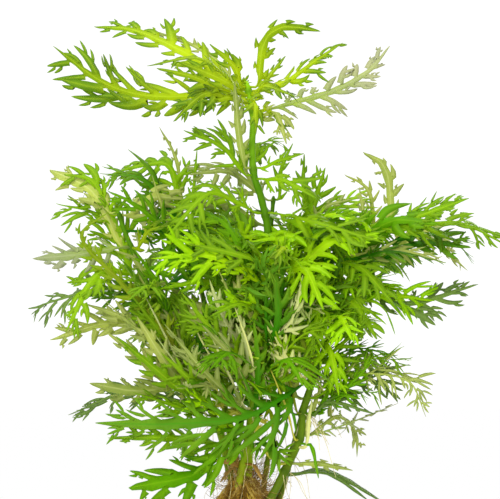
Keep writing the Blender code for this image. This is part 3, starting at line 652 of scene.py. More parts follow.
def grid_quads(index):
    """The quads of index grids: (..., row, column)."""
    return np.stack([index[..., :-1, :-1], index[..., :-1, 1:], index[..., 1:, 1:], index[..., 1:, :-1]],
                    axis=-1).reshape(-1, 4)


def straps(leaf, roots, turn, bend, length, half, rows, climb, curl):
    """Straps grown from an edge of the leaf: each is rows of three points across, on an arc.

    point = root + L (integral of (cos, sin)(turn + bend t)) +- half shape(t) across;
    lift = lift of the root + L (climb t + curl t^2). Row 0 is the edge that it grows from. The shape goes
    from the tooth's to the strap's as L / half goes from 3.5 to 8.5.
    """
    start, t = leaf["flat"][roots[:, 1]], rows[None]
    a, b = turn[:, None], bend[:, None]
    spine = start[:, None] + length[:, None, None] * np.stack(
        [np.sin(a + b * t) - np.sin(a), np.cos(a) - np.cos(a + b * t)], axis=-1) / b[..., None]
    slope = np.stack([np.cos(a + b * t), np.sin(a + b * t)], axis=-1)
    aside = np.stack([-slope[..., 1], slope[..., 0]], axis=-1)
    slim = np.clip((length / half - 3.5) / 5, 0, 1)[:, None]
    shape = slim * np.interp(rows, *STRAP_SHAPE) + (1 - slim) * np.interp(rows, *TOOTH_SHAPE)
    width = half[:, None] * shape
    points = spine[:, :, None] + aside[:, :, None] * (width[:, :, None] * np.array([-1, 0, 1.0]))[..., None]
    index = len(leaf["flat"]) + np.arange(points[..., 0].size).reshape(points.shape[:3])
    whole = np.concatenate([roots[:, None], index], axis=1)
    climb, curl = climb[:, None], curl[:, None]
    raised = leaf["lift"][roots[:, 1]][:, None] + length[:, None] * (climb * t + curl * t**2)
    thick = np.interp(rows, [0, 1], STRAP_THICK)[None, :, None] * np.broadcast_to([0.5, 1, 0.5], index.shape)
    gained = {"flat": points.reshape(-1, 2), "lift": np.repeat(raised.ravel(), 3), "quads": grid_quads(whole),
              "vein": np.broadcast_to([0, 0.8, 0], index.shape).ravel(),
              "far": np.broadcast_to(np.sqrt(t)[..., None], index.shape).ravel(), "thick": thick.ravel()}
    for key, values in gained.items():
        leaf[key] = np.concatenate([leaf[key], values])
    return whole, np.arctan2(slope[..., 1], slope[..., 0]), climb + 2 * curl * t


def flat_leaf(length, reach, breadth, seed, swell=1.0):
    """The leaf laid flat, as (along, across) points: a winged midrib, pairs of lobes on it, fingers on them.

    The midrib's half width goes from the stalk's to the wing's, w = (0.45 + 0.07 reach) breadth^1.1, and on
    to the narrow end. A lobe's length is reach x its place's share x chance - w, and its half width
    0.46 + 0.06 length breadth^1.2. A finger's length is its lobe's x (0.66 - 0.4 place) x chance /
    breadth^0.8. swell widens the last third.
    """
    own = np.random.default_rng(seed)

    # The midrib: rows of five points at the stalk's stations, three at each lobe's root, and the end's.
    first, end = STALK_SHARE * length, TIP_SHARE * length
    pairs = max(3, int(round((end - first) / (LOBE_GAP + LOBE_GAP_SHARE * reach) / max(breadth, 1) ** 0.6)))
    spacing, tip = (end - first) / pairs, length - end
    fingers = int(reach >= FINGER_REACH) + int(reach >= TWO_FINGERS_REACH)
    root = min(0.34 * spacing, 0.8 + 0.11 * reach)
    stalk = np.linspace(0, first, 7)[:-1]
    lobe_root = first + (np.arange(pairs) + 0.3 + own.uniform(-0.1, 0.1, pairs)) * spacing
    stations = np.concatenate([stalk, (lobe_root[:, None] + np.array([-root, 0, root])).ravel(),
                               end + tip * np.array([0.25, 0.55, 0.8, 0.93, 1.0])])
    wing = (0.45 + 0.07 * reach) * breadth**1.1
    marks = np.array([0, 0.8 * first, 1.1 * first, 0.45 * length, 0.75 * length, end, length])
    wings = [share * wing for share in WING_SHARES]
    half = np.interp(stations, marks, [STALK_HALF, STALK_HALF, *wings, TIP_HALF])
    half *= 1 + 0.16 * np.sin(stations * 0.5 + own.uniform(0, 6))
    half *= np.interp(stations / length, [0.45, 0.7, 1], [1, swell, swell])
    stagger = np.interp(stations, [0, first, end, length], [0, 0.2 * spacing, 0.2 * spacing, 0])
    along = stations[:, None] + stagger[:, None] * EDGE_SHIFT
    spine = np.arange(len(stations) * 5).reshape(-1, 5)
    thick = np.interp(stations / length, *RIDGE)[:, None] * RIB_THICK + BLADE_HALF
    leaf = {"flat": np.stack([along, half[:, None] * ACROSS], axis=-1).reshape(-1, 2),
            "lift": np.zeros(spine.size), "far": np.zeros(spine.size), "thick": thick.ravel(),
            "quads": grid_quads(spine), "vein": np.broadcast_to(RIB_VEIN, spine.shape).ravel()}

    # The lobes: a pair at each root, with rows of points where their fingers stand.
    lobe, side_of = (one.ravel() for one in np.meshgrid(np.arange(pairs), (-1.0, 1.0), indexing="ij"))
    if reach < SMOOTH_REACH:
        lobe, side_of = lobe[:0], side_of[:0]
    count = len(lobe)
    roots = spine[len(stalk) + 3 * lobe[:, None] + np.arange(3), np.where(side_of > 0, 4, 0)[:, None]]
    out = reach * lobe_reach((lobe + 0.5) / pairs) * own.uniform(0.7, 1.2, count) - wing
    out = np.maximum(out, np.interp(reach, [3.5, 6], [0.06, 0.25]) * reach)
    out /= np.interp(lobe / pairs, [0.35, 0.65, 1], [1, swell, swell]) ** 0.5
    turn = LOBE_TURN + own.uniform(-0.22, 0.22, count) - 0.25 * lobe / pairs - 0.15 * max(breadth - 1, 0)
    bend = LOBE_BEND + own.uniform(-0.6, 0.5, count)
    bend = np.where(np.abs(bend) < 0.05, 0.05, bend)
    run = out / np.clip(np.sin(turn + 0.5 * bend), 0.74, 1)
    finger_rows = FINGERS_START + FINGERS_SPAN * np.arange(fingers)[:, None] / fingers + FINGER_STEPS
    rows = np.concatenate([ROOT_ROWS, finger_rows.ravel(), END_ROWS])
    grown, heading, climb = straps(leaf, roots, turn * side_of, bend * side_of, run,
                                   (0.46 + 0.06 * run * breadth**1.2) * own.uniform(0.8, 1.2, count), rows,
                                   own.uniform(-0.35, 0.4, count) / max(breadth, 1),
                                   own.uniform(-0.75, 0.5, count) / max(breadth, 1) ** 2)

    # The fingers: some of those that there's room for, on both edges of each lobe.
    of, finger, edge = (one.ravel() for one in np.meshgrid(
        np.arange(count), np.arange(fingers), (-1.0, 1.0), indexing="ij"))
    kept = own.random(len(of)) < np.clip(0.9 - 0.4 * breadth, 0.12, 0.7)
    of, finger, edge = of[kept], finger[kept], edge[kept]
    row = 3 + 4 * finger[:, None] + (edge * side_of[of] > 0)[:, None] + np.arange(3)
    roots = grown[of[:, None], row, np.where(edge > 0, 2, 0)[:, None]]
    size = run[of] * (0.66 - 0.4 * rows[row[:, 0]]) * own.uniform(0.6, 1.35, len(of)) / breadth**0.8
    own_turn = own.uniform(0.7, 1.3, len(of)) * edge
    straps(leaf, roots, heading[of, row[:, 0]] + FINGER_TURN * own_turn, FINGER_BEND * own_turn, size,
           0.3 + 0.075 * size * breadth, FINGER_ROWS,
           climb[of, row[:, 0]] + own.uniform(-0.3, 0.3, len(of)), own.uniform(-0.4, 0.4, len(of)))

    # Every quad is turned to face the same way.
    quads = leaf["quads"]
    corner = leaf["flat"][quads]
    spans = corner[:, 2] - corner[:, 0], corner[:, 3] - corner[:, 1]
    area = spans[0][:, 0] * spans[1][:, 1] - spans[0][:, 1] * spans[1][:, 0]
    quads[area < 0] = quads[area < 0][:, ::-1]
    return (leaf[key] for key in ("flat", "quads", "vein", "far", "lift", "thick"))


def closed_sheet(flat, quads, lift, thick, line, marks, face, twist):
    """The flat leaf laid on its bent midrib, twisted round it towards its tip, and given thickness.

    point = P(s) + w across + (lift - 0.01 w^2) out, +- thick out; P is the midrib, s along it, w across it.
    across = unit(face x slope) and out = slope x across, both turned by twist (s / length)^1.5. A rim of
    quads joins the two sides along each open edge.
    """
    slopes = unit(np.gradient(line, axis=0))
    place = on_line(flat[:, 0], marks, line)
    slope = unit(on_line(flat[:, 0], marks, slopes))
    across = unit(np.cross(face, slope))
    out = np.cross(slope, across)
    turn = twist * np.clip(flat[:, :1] / marks[-1], 0, 1) ** 1.5
    across, out = across * np.cos(turn) + out * np.sin(turn), out * np.cos(turn) - across * np.sin(turn)
    side = flat[:, 1:]
    middle = place + across * side + out * (lift[:, None] - CURL * side**2)
    count = len(flat)
    points = np.vstack([middle + out * thick[:, None], middle - out * thick[:, None]])
    edges = np.stack([quads, np.roll(quads, -1, axis=1)], axis=-1).reshape(-1, 2)
    keys = np.sort(edges, axis=1)
    code = keys[:, 0].astype(np.int64) * count + keys[:, 1]
    _, where, uses = np.unique(code, return_index=True, return_counts=True)
    rim = edges[where[uses == 1]]
    rims = np.column_stack([rim[:, 1], rim[:, 0], rim[:, 0] + count, rim[:, 1] + count])
    return points, np.vstack([quads, quads[:, ::-1] + count]), rims


def grow_leaf(stem, height, path, reach, lean, breadth, node, seed, inside=False, swell=1.0):
    """One leaf's closed mesh and traits; with a node, it is turned as that solid is.

    An inside leaf starts in its stem's flesh, and any other is drawn back into it by its first row.
    """
    points, rooted = midrib(stem, height, path, inside)
    line, length = even_path(points, MIDRIB_STEPS)
    if node:
        line = as_packed(line, node)
    marks = np.linspace(0, length, len(line))
    if not inside:
        line = np.vstack([rooted, line])
        marks = np.concatenate([[-np.linalg.norm(line[1] - rooted)], marks])
    flat, quads, vein, far, lift, thick = flat_leaf(length, reach, breadth, seed, swell)
    flat = flat.copy()
    if not inside:
        flat[:5, 0] = marks[0]
    lean = math.radians(lean)
    own = np.random.default_rng(seed + 5000)
    face = np.array([0 if node else own.uniform(-0.8, 0.8), -math.sin(lean), math.cos(lean)])
    twist = own.uniform(-TWIST, TWIST) * (1 if node else LOOSE_TWIST)
    points, quads, rims = closed_sheet(flat, quads, lift, thick, line, marks, face, twist)
    # Each leaf's tone, with a slow wave along it that is strongest at the lobe tips, sets how much painted
    # shade or painted highlight its tissue gets.
    tone = own.uniform(0.3, 0.7) + 0.12 * np.sin(flat[:, 0] * 0.25 + own.uniform(0, 6)) * far
    traits = {"along": np.tile(np.clip(flat[:, 0] / length, 0, 1), 2), "vein": np.tile(vein, 2),
              "far": np.tile(far, 2), "tone": np.tile(tone, 2),
              "under": np.concatenate([np.zeros(len(flat)), np.ones(len(flat))])}
    return points, quads, rims, traits


def join_leaves(grown):
    """Several leaves' arrays as one, the flat rim quads last."""
    points, sheets, rims, traits, shift = [], [], [], {}, 0
    for one_points, one_quads, one_rims, one_traits in grown:
        points.append(one_points)
        sheets.append(one_quads + shift)
        rims.append(one_rims + shift)
        for key, values in one_traits.items():
            traits.setdefault(key, []).append(values)
        shift += len(one_points)
    sheets = np.vstack(sheets)
    quads = np.vstack([sheets, *rims])
    traits = {key: np.concatenate(values) for key, values in traits.items()}
    return np.vstack(points), quads, traits, len(sheets)


def leaf_piece(name, grown, kind, node):
    """One piece of leaves of one kind, in place of one solid."""
    points, quads, traits, flat_from = join_leaves(grown)
    piece = mesh_piece(name, points, quads, np.empty((0, 3), int), traits, leaf_paints[kind], flat_from)
    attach(piece, "root")
    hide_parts(node)


def tissue_group():
    """Leaf tissue: face colour to tip colour along the leaf, paler veins, a duller back, soft blotches of
    painted shade and painted highlight.
    """
    tree = bpy.data.node_groups.new("leaf_tissue", "ShaderNodeTree")
    for name in ("Base", "Tip", "Vein", "Back"):
        tree.interface.new_socket(name, in_out="INPUT", socket_type="NodeSocketColor")
    tree.interface.new_socket("Color", in_out="OUTPUT", socket_type="NodeSocketColor")
    tree.interface.new_socket("Height", in_out="OUTPUT", socket_type="NodeSocketFloat")
    given, result = tree.nodes.new("NodeGroupInput"), tree.nodes.new("NodeGroupOutput")
    share = added(tree, times(tree, trait(tree, "along"), 0.8), times(tree, trait(tree, "far"), 0.4))
    share = ramp(tree, share, (0.2, (0.0, 0.0, 0.0)), (0.85, (1.0, 1.0, 1.0)))
    colour = blend_colours(tree, share, given.outputs["Base"], given.outputs["Tip"])
    # Painted shade and painted highlight: the leaf's tone and soft noise blotches multiply its colour by 0.6
    # to 0.7 where shaded and by up to 1.26 where lit.
    tone = added(tree, times(tree, noise(tree, 110, 3), 0.55), trait(tree, "tone"))
    shade = ramp(tree, tone, (0.35, (0.62, 0.70, 0.60)), (0.75, (1.0, 1.0, 1.0)), (1.0, (1.26, 1.18, 1.05)))
    colour = blend_colours(tree, 1.0, colour, shade, "MULTIPLY")
    colour = blend_colours(tree, times(tree, trait(tree, "under"), 0.8), colour, given.outputs["Back"])
    veined = times(tree, math_node(tree, "POWER", trait(tree, "vein"), 3.0), 0.7)
    feed(tree, result.inputs["Color"], blend_colours(tree, veined, colour, given.outputs["Vein"]))
    cells = times(tree, noise(tree, 1400, 2), 0.6)
    feed(tree, result.inputs["Height"], added(tree, trait(tree, "vein"), cells))
    return tree


def mix_shaders(tree, share, first, second):
    """The material's surface: a share of the second shader, and the rest the first."""
    both = tree.nodes.new("ShaderNodeMixShader")
    for number, value in enumerate((share, first, second)):
        feed(tree, both.inputs[number], value)
    feed(tree, tree.nodes["Material Output"].inputs["Surface"], both.outputs["Shader"])


def leaf_paint(name, base, tip, vein, back, glow):
    """Living leaf: a satin skin over tissue that lets a share of the light through."""
    paint, tree, shader = new_paint(name)
    tissue = tree.nodes.new("ShaderNodeGroup")
    tissue.node_tree = leaf_tissue
    for socket, colour in zip(("Base", "Tip", "Vein", "Back"), (base, tip, vein, back)):
        feed(tree, tissue.inputs[socket], colour)
    finish_skin(tree, shader, tissue.outputs["Color"], 0.5, 0.09, tissue.outputs["Height"], 0.25, 0.0003)
    through = tree.nodes.new("ShaderNodeBsdfTranslucent")
    feed(tree, through.inputs["Color"], tissue.outputs["Color"])
    mix_shaders(tree, glow, shader.outputs["BSDF"], through.outputs["BSDF"])
    return paint


leaf_tissue = tissue_group()
leaf_paints = {kind: leaf_paint("leaf_" + kind, *looks) for kind, looks in LEAF_KINDS.items()}
for seed, (stem, number, height, path, reach, lean, kind, breadth) in enumerate(LEAVES, 100):
    name = f"{stem}_{number}"
    grown = grow_leaf(stem, height, path, reach, lean, breadth, "leaf_" + name, seed,
                      swell=BROAD_ENDS.get(name, 1.0))
    leaf_piece("lobed_leaf_" + name, [grown], kind, "leaf_" + name)


# SMALL YOUNG LEAVES
# Short leaves still growing at the stem's tips and rings, less deeply cut than the large ones. They grow
# out of the stem's own flesh, and each stem's leaves of one kind are one piece.

# A leaf: its stem, the height where it leaves it, the points its midrib passes, the reach of its longest
# lobe, how far its face leans towards the viewer, its kind and how broad its lobes are.
SMALL_LEAVES = (
    ("tall", 242, ((-7, -9, 251), (-11.5, -12, 259)), 3.5, 90, "young", 1.2),
    ("tall", 239.5, ((-26, -12, 254), (-53, -18, 250)), 5, 35, "young", 1.6),
    ("tall", 230, ((3, -15, 230), (3, -20, 214)), 7, 80, "young", 1.2),
    ("tall", 225.5, ((13, -10, 227), (18, -16, 211)), 8, 75, "pale", 1.2),
    ("tall", 238, ((10, 6, 246), (18, 12, 256)), 6, 70, "young", 1.2),
    ("tall", 199.5, ((14, -6, 203), (27, -8, 206.5)), 5, 55, "mature", 1.2),
    ("tall", 150, ((24, -4, 156), (38, -6, 150)), 8, 55, "mature", 1.2),
    ("tall", 150, ((-8, -2, 158), (-24, -2, 156)), 8, 55, "mature", 1.2),
    ("tall", 120, ((-10, -4, 127), (-27, -8, 120)), 8, 55, "deep", 1.2),
    ("tall", 92, ((-12, -6, 99), (-28, -12, 92)), 8, 55, "deep", 1.2),
    ("tall", 238.8, ((-22, 16, 258), (-50, 20, 269.5)), 6, 50, "pale", 1.2),
    ("tall", 235.5, ((-28, -22, 244), (-49, -30, 249)), 8, 50, "young", 1.6),
    ("front", 118, ((-4, -26, 134), (-6, -28, 158)), 5, 90, "pale", 1.2),
    ("front", 82, ((11, -22, 76), (12.5, -28, 57.5)), 5, 75, "young", 1.2),
    ("front", 150, ((17, -36, 160), (12, -54, 154)), 9, 45, "young", 1.2),
    ("front", 126, ((-4, -34, 132), (-18, -52, 126)), 9, 45, "mature", 1.2),
    ("front", 62, ((8, -22, 62), (20, -36, 52)), 8, 55, "deep", 1.2),
    ("right", 161, ((57, 8, 173), (55, 9, 190)), 5, 90, "pale", 1.2),
    ("right", 62, ((31, -12, 60), (34, -16, 45)), 3.5, 75, "olive", 1.2),
    ("right", 76, ((40, -12, 83), (62, -18, 77)), 5, 40, "shade", 1.2),
    ("right", 46, ((40, 14, 47), (70, 34, 29)), 3.5, 50, "shade", 2.0),
    ("right", 94, ((35.5, 2, 89), (33, 5, 77), (29.5, 6, 63)), 4, 85, "pale", 1.2),
    ("right", 136, ((30, -16, 142), (22, -30, 138)), 8, 45, "young", 1.2),
    ("right", 110, ((20, -14, 116), (8, -24, 108)), 8, 55, "mature", 1.2),
    ("right", 156, ((76, -4, 158), (97, -18, 152)), 8, 50, "pale", 1.2),
    ("right", 52, ((34, -8, 52), (51, -18, 49)), 5, 55, "pale", 1.7),
    ("thin", 174.5, ((27, 24, 191), (27.5, 24, 207)), 6, 90, "mature", 1.2),
    ("thin", 172, ((34, 20, 187), (38, 18, 200)), 8, 85, "mature", 1.2),
    ("thin", 167, ((38, 14, 180), (51, 12, 184)), 6, 60, "pale", 1.2),
    ("thin", 158, ((32, 42, 170), (40, 66, 164)), 10, 20, "mature", 1.2),
    ("thin", 130, ((30, 14, 140), (43, 10, 140)), 8, 60, "mature", 1.2),
    ("left", 130, ((-50, -26, 138), (-60, -50, 128)), 10, 35, "mature", 1.2),
    ("left", 84, ((-46, -17, 97), (-57, -20, 107), (-71, -24, 118)), 9, 70, "pale", 1.9),
    ("left", 160, ((-48, -6, 172), (-36, -14, 178)), 9, 60, "young", 1.2),
    ("left", 102, ((-54, -20, 122), (-76, -30, 132)), 9, 65, "pale", 1.6),
    ("left_back", 173, ((-37, 32, 203), (-46, 34, 221)), 4, 85, "pale", 1.2),
    ("left_back", 170, ((-28, 12, 192), (-26.5, 10, 209)), 4, 90, "mature", 1.2),
    ("left_back", 156, ((-42, 4, 176), (-48, -2, 194)), 3.5, 90, "pale", 1.2),
    ("left_back", 125, ((-32, 10, 133), (-46, 4, 131)), 8, 60, "mature", 1.2),
    ("back", 184, ((16, 46, 200), (22, 52, 213)), 6, 60, "mature", 1.2),
    ("back", 130, ((-8, 52, 140), (-20, 66, 134)), 8, 20, "mature", 1.2),
    ("right_back", 162, ((60, 22, 188), (47.5, 16, 196.5)), 5, 85, "pale", 1.2),
    ("right_back", 128, ((60, 18, 137), (73, 12, 133)), 8, 60, "mature", 1.2),
    ("right_back", 84, ((44, 32, 87), (56, 44, 77)), 8, 40, "mature", 1.2),
)


def leaves_on(stem, rows, first_seed, node=None):
    """The leaves of a table that grow on a stem, sorted by kind; the table's leaves count up from a seed."""
    found = {kind: [] for kind in leaf_paints}
    for seed, (grows_on, height, path, reach, lean, kind, breadth) in enumerate(rows, first_seed):
        if grows_on == stem:
            found[kind].append(grow_leaf(stem, height, path, reach, lean, breadth, node, seed, True))
    return found


def leaf_pieces(name, stem, found):
    """One piece for each kind of leaf found on a stem, fused to the stem's solid."""
    for kind, grown in found.items():
        if grown:
            leaf_piece(f"{name}_{stem}_{kind}", grown, kind, "stem_" + stem)


for stem in STEMS:
    leaf_pieces("small_leaves", stem, leaves_on(stem, SMALL_LEAVES, 300, "stem_" + stem))


# INNER LEAVES
# The thick of the plant: leaves of middling size that stand in pairs on every ring of every stem, under
# and between the large ones. Each ends close to another leaf or a stem, and is rooted in its own stem.

# How many directions are tried for a leaf, how near to a solid it has to end, and its length.
INNER_TRIES, INNER_NEAR, INNER_LENGTH = 40, 9, (28, 62)
# The lowest ring that bears such leaves, and the highest on the tall stem.
INNER_LOWEST, INNER_HIGHEST = 76, 178
# None ends below the first height, above the second, or in the open space beside the tall stem's top, whose
# middle, half width and foot follow.
INNER_BOTTOM, INNER_TOP = 36, 262
NECK_MIDDLE, NECK_HALF, NECK_FOOT = 4, 34, 168
# Their kinds from the roots up. bright is the mature leaf painted lighter: painted light on these leaves,
# which stand in the plant's shade.
INNER_KINDS = ("bright", "olive", "bright", "deep", "lime", "olive", "bright", "mature")
# Behind this depth they lean away from the viewer, and are of the next kind up.
BACK_DEPTH = 20
# Left of the first place some are pale, left of the second they are broader or finer, left of the third none
# is lime or bright, and right of the fourth, below its height, they are few and thin.
PALE_SIDE, LEFT_SIDE, FAR_LEFT, THIN_RIGHT, THIN_HEIGHT = -20, -15, -60, 30, 130
PALE_SHARE, THIN_SHARE = 0.4, 0.5
LEFT_BREADTHS, OTHER_BREADTHS, THIN_BREADTH = (1.6, 0.8, 1.5, 1.1), (0.7, 1.0, 1.3, 1.5), 0.5
# The reach of a leaf's lobes, plus this share of its length, and the share of that on broad and thin ones.
INNER_REACH, INNER_REACH_SHARE, SHORT_REACH = 5, 0.16, 0.65


def inner_leaf(stem, height, around, corners, own):
    """A leaf's path: of some directions near the wanted one, that whose tip is nearest to a solid's corner.

    half way = middle + L (0.5 level + 0.09 up) + 0.55 climb; tip = middle + L level + 0.8 climb; L is the
    length, and level and climb = L rise up are both divided by sqrt(1 + rise^2 / 2).
    Leaves on the left rise steeply, as if reaching for the light, and those on the right lie flatter.
    """
    middle, _ = stem_at(stem, height)
    turn = around + own.uniform(-0.7, 0.7, INNER_TRIES)
    length = own.uniform(*INNER_LENGTH, INNER_TRIES)
    left = np.cos(turn) < 0
    rise = own.uniform(0, 1, INNER_TRIES) * np.where(left, 1.5, 0.9) + np.where(left, 0.05, -0.25)
    shorter = np.sqrt(1 + 0.5 * rise**2)[:, None]
    level = np.column_stack([np.cos(turn), np.sin(turn), 0 * turn]) / shorter
    climb = np.outer(length * rise, (0, 0, 1)) / shorter
    half_way = middle + level * (0.5 * length)[:, None] + 0.55 * climb + np.outer(0.09 * length, (0, 0, 1))
    tip = middle + level * length[:, None] + 0.8 * climb
    miss = np.linalg.norm(corners[None] - tip[:, None], axis=2).min(axis=1)
    neck = (np.abs(tip[:, 0] - NECK_MIDDLE) < NECK_HALF) & (tip[:, 2] > NECK_FOOT)
    miss = miss + 40 * ((tip[:, 2] < INNER_BOTTOM) | (tip[:, 2] > INNER_TOP) | neck) - 0.06 * length
    best = int(np.argmin(miss))
    return half_way[best], tip[best], length[best], miss[best]


# Those that show between the large leaves, with the same columns as the small leaves. The ones with a reach
# below 4 are smooth straps.
SHOWN_LEAVES = (
    ("right", 113, ((40, -14, 108), (44, -18, 86)), 10, 60, "lime", 1.2),
    ("right", 128, ((34, -20, 128), (30, -26, 106)), 9, 60, "lime", 1.1),
    ("right", 77, ((46, -10, 88), (62, -16, 104)), 9, 50, "olive", 0.8),
    ("right", 93, ((18, -20, 104), (10, -26, 124)), 8, 80, "cream", 1.2),
    ("right", 104, ((46, -14, 112), (60, -22, 126)), 9, 55, "mature", 1.0),
    ("right_back", 84, ((50, 10, 90), (74, 6, 100)), 9, 45, "shade", 0.7),
    ("left", 84, ((-40, -20, 100), (-56, -30, 126)), 9, 60, "pale", 2.0),
    ("left", 62, ((-42, -36, 66), (-70, -38, 66)), 12, 75, "mature", 1.5),
    ("left", 76, ((-38, -24, 92), (-66, -36, 116)), 8, 60, "mature", 1.8),
    ("left", 96, ((-48, -22, 112), (-72, -34, 134)), 8, 60, "pale", 1.8),
    ("left", 110, ((-52, -18, 134), (-66, -26, 158)), 11, 60, "mature", 1.0),
    ("left", 72, ((-34, -16, 80), (-58, -24, 88)), 10, 60, "mature", 1.2),
    ("left_back", 90, ((-40, -10, 112), (-60, -24, 138)), 10, 60, "mature", 1.0),
    ("front", 80, ((-22, -30, 98), (-42, -40, 122)), 12, 60, "pale", 1.2),
    ("front", 99, ((-18, -30, 118), (-34, -38, 138)), 11, 60, "mature", 1.0),
    ("front", 66, ((-14, -24, 76), (-34, -34, 92)), 10, 70, "lime", 1.1),
    ("front", 88, ((-8, -26, 104), (-24, -34, 122)), 9, 75, "pale", 1.4),
    ("front", 114, ((22, -30, 128), (26, -34, 146)), 9, 75, "cream", 1.2),
    ("front", 90, ((22, -26, 98), (34, -30, 118)), 9, 70, "mature", 1.0),
    ("front", 94, ((-2, -28, 112), (-6, -34, 130)), 6, 85, "cream", 1.4),
    ("tall", 78, ((-24, -22, 90), (-44, -32, 108)), 12, 65, "mature", 1.2),
    ("tall", 104, ((-12, -24, 122), (-20, -30, 144)), 8, 80, "cream", 1.3),
    ("tall", 236, ((-14, -18, 243), (-36, -26, 252)), 9, 60, "young", 1.6),
    ("tall", 232, ((-12, -16, 234), (-32, -24, 228)), 9, 60, "young", 1.4),
    ("tall", 240, ((-8, -12, 250), (-20, -16, 261)), 7, 70, "young", 1.4),
    ("tall", 236, ((8, -14, 240), (24, -20, 234)), 8, 65, "young", 1.3),
    ("tall", 228, ((10, -8, 228), (20, -12, 216)), 6, 75, "young", 1.3),
    ("front", 126, ((16, -28, 142), (14, -32, 164)), 8, 85, "deep", 1.3),
    ("front", 80, ((-10, -24, 96), (-20, -30, 118)), 3, 80, "cream", 0.9),
    ("front", 92, ((0, -30, 108), (-8, -36, 132)), 3, 80, "cream", 0.9),
    ("tall", 70, ((-12, -20, 84), (-26, -28, 100)), 3, 80, "old", 0.8),
    ("tall", 90, ((-18, -22, 104), (-30, -30, 126)), 3, 80, "cream", 0.8),
    ("right", 64, ((18, -20, 80), (10, -28, 100)), 3, 80, "old", 0.8),
    ("right", 77, ((20, -16, 92), (14, -22, 112)), 3.5, 80, "dusk", 1.0),
    ("left", 72, ((-30, -16, 92), (-48, -26, 118)), 3, 80, "cream", 0.8),
    ("left", 92, ((-40, -16, 112), (-54, -26, 140)), 3, 80, "cream", 0.8),
    ("front", 110, ((-6, -28, 128), (-16, -34, 150)), 4, 80, "pale", 1.6),
    ("tall", 120, ((-8, -18, 140), (-22, -24, 166)), 5, 80, "deep", 1.7),
    ("right", 118, ((28, -18, 132), (22, -24, 152)), 4, 80, "deep", 1.8),
    ("front", 80, ((4, -26, 100), (2, -32, 124)), 7, 85, "deep", 1.4),
    ("right", 93, ((28, -18, 108), (20, -26, 130)), 7, 80, "dusk", 1.4),
    ("left", 118, ((-44, -14, 138), (-58, -20, 160)), 8, 70, "olive", 1.5),
    ("right", 47, ((40, 8, 46), (60, 18, 32)), 3, 50, "shade", 1.5),
    ("right", 66, ((50, 2, 72), (74, -4, 82)), 5, 60, "silver", 0.5),
)
inner_chance = np.random.default_rng(23)
corners = np.vstack([corners_of(node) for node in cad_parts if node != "root_mass"])
for stem in STEMS:
    found = leaves_on(stem, SHOWN_LEAVES, 500)
    rings = NODES[stem]
    heights = sorted([*rings, *[0.5 * (low + high) for low, high in zip(rings, rings[1:])]])
    for height in heights:
        if height < INNER_LOWEST or (stem == "tall" and height > INNER_HIGHEST):
            continue
        first_turn = inner_chance.uniform(0, 6.28)
        for around in (first_turn, first_turn + np.pi):
            half_way, tip, length, miss = inner_leaf(stem, height, around, corners, inner_chance)
            if miss > INNER_NEAR:
                continue
            lean = inner_chance.uniform(15, 90) if tip[1] < BACK_DEPTH else inner_chance.uniform(-80, -10)
            share = (height - 40) / 200 + inner_chance.uniform(-0.25, 0.25)
            kind_number = share * len(INNER_KINDS) + (1 if tip[1] > BACK_DEPTH else 0)
            kind = INNER_KINDS[int(np.clip(kind_number, 0, len(INNER_KINDS) - 1))]
            if tip[0] < PALE_SIDE and inner_chance.random() < PALE_SHARE:
                kind = "pale"
            breadth = inner_chance.choice(LEFT_BREADTHS if tip[0] < LEFT_SIDE else OTHER_BREADTHS)
            if tip[0] < FAR_LEFT and kind in ("lime", "bright"):
                kind = "mature"
            if tip[0] > THIN_RIGHT and tip[2] < THIN_HEIGHT:
                if inner_chance.random() < THIN_SHARE:
                    continue
                breadth, kind = THIN_BREADTH, inner_chance.choice(("olive", "mature", "pale"))
            reach = INNER_REACH + INNER_REACH_SHARE * length
            reach *= SHORT_REACH if breadth > 1.5 or breadth == THIN_BREADTH else 1
            seed = 700 + int(inner_chance.integers(4000))
            path = (half_way, tip)
            found[kind].append(grow_leaf(stem, height, path, reach, lean, breadth, None, seed, True))
    leaf_pieces("inner_leaves", stem, found)


# WITHERED LEAVES
# The remains of the oldest leaves at the stems' feet: brown rags on the crown, and small yellow and cream
# ones that still hold.

# The columns are the small leaves'.
WITHERED_LEAVES = (
    ("tall", 50, ((-8, -9, 52), (-17, -13, 54)), 4, 75, "withered", 1.4),
    ("tall", 52, ((-9, -8, 50), (-15, -12, 43)), 4, 75, "withered", 1.4),
    ("tall", 50, ((-7, -9, 56), (-9, -12, 68)), 3, 75, "withered", 1.4),
    ("front", 52, ((3, -13, 50), (6, -16, 44)), 3, 75, "withered", 1.4),
    ("tall", 74, ((-10, -14, 82), (-21, -20, 80)), 4.5, 60, "old", 1.8),
    ("front", 70, ((-6, -17, 78), (-13, -22, 75)), 4.5, 60, "old", 1.8),
    ("front", 66, ((4, -16, 74), (10, -19, 71)), 4, 60, "old", 1.8),
    ("right", 52, ((12, -12, 54), (6, -16, 60)), 3.5, 60, "old", 1.5),
    ("right", 60, ((29, -10, 72), (31, -12, 84)), 3.5, 80, "cream", 1.5),
)
for stem in STEMS:
    leaf_pieces("withered_leaves", stem, leaves_on(stem, WITHERED_LEAVES, 600))


# AERIAL ROOTLETS
# Pale, hair-thin roots that sprout from the stems' rings and wander down between the leaves. Each is one
# soft thread that grows out of its stem's skin.

ROOTLETS, ROOTLET_STEPS, ROOTLET_SIDES, ROOTLET_RADIUS = 150, 14, 5, 0.17
# The height that the rootlets don't hang below.
ROOTLET_LOWEST = 34


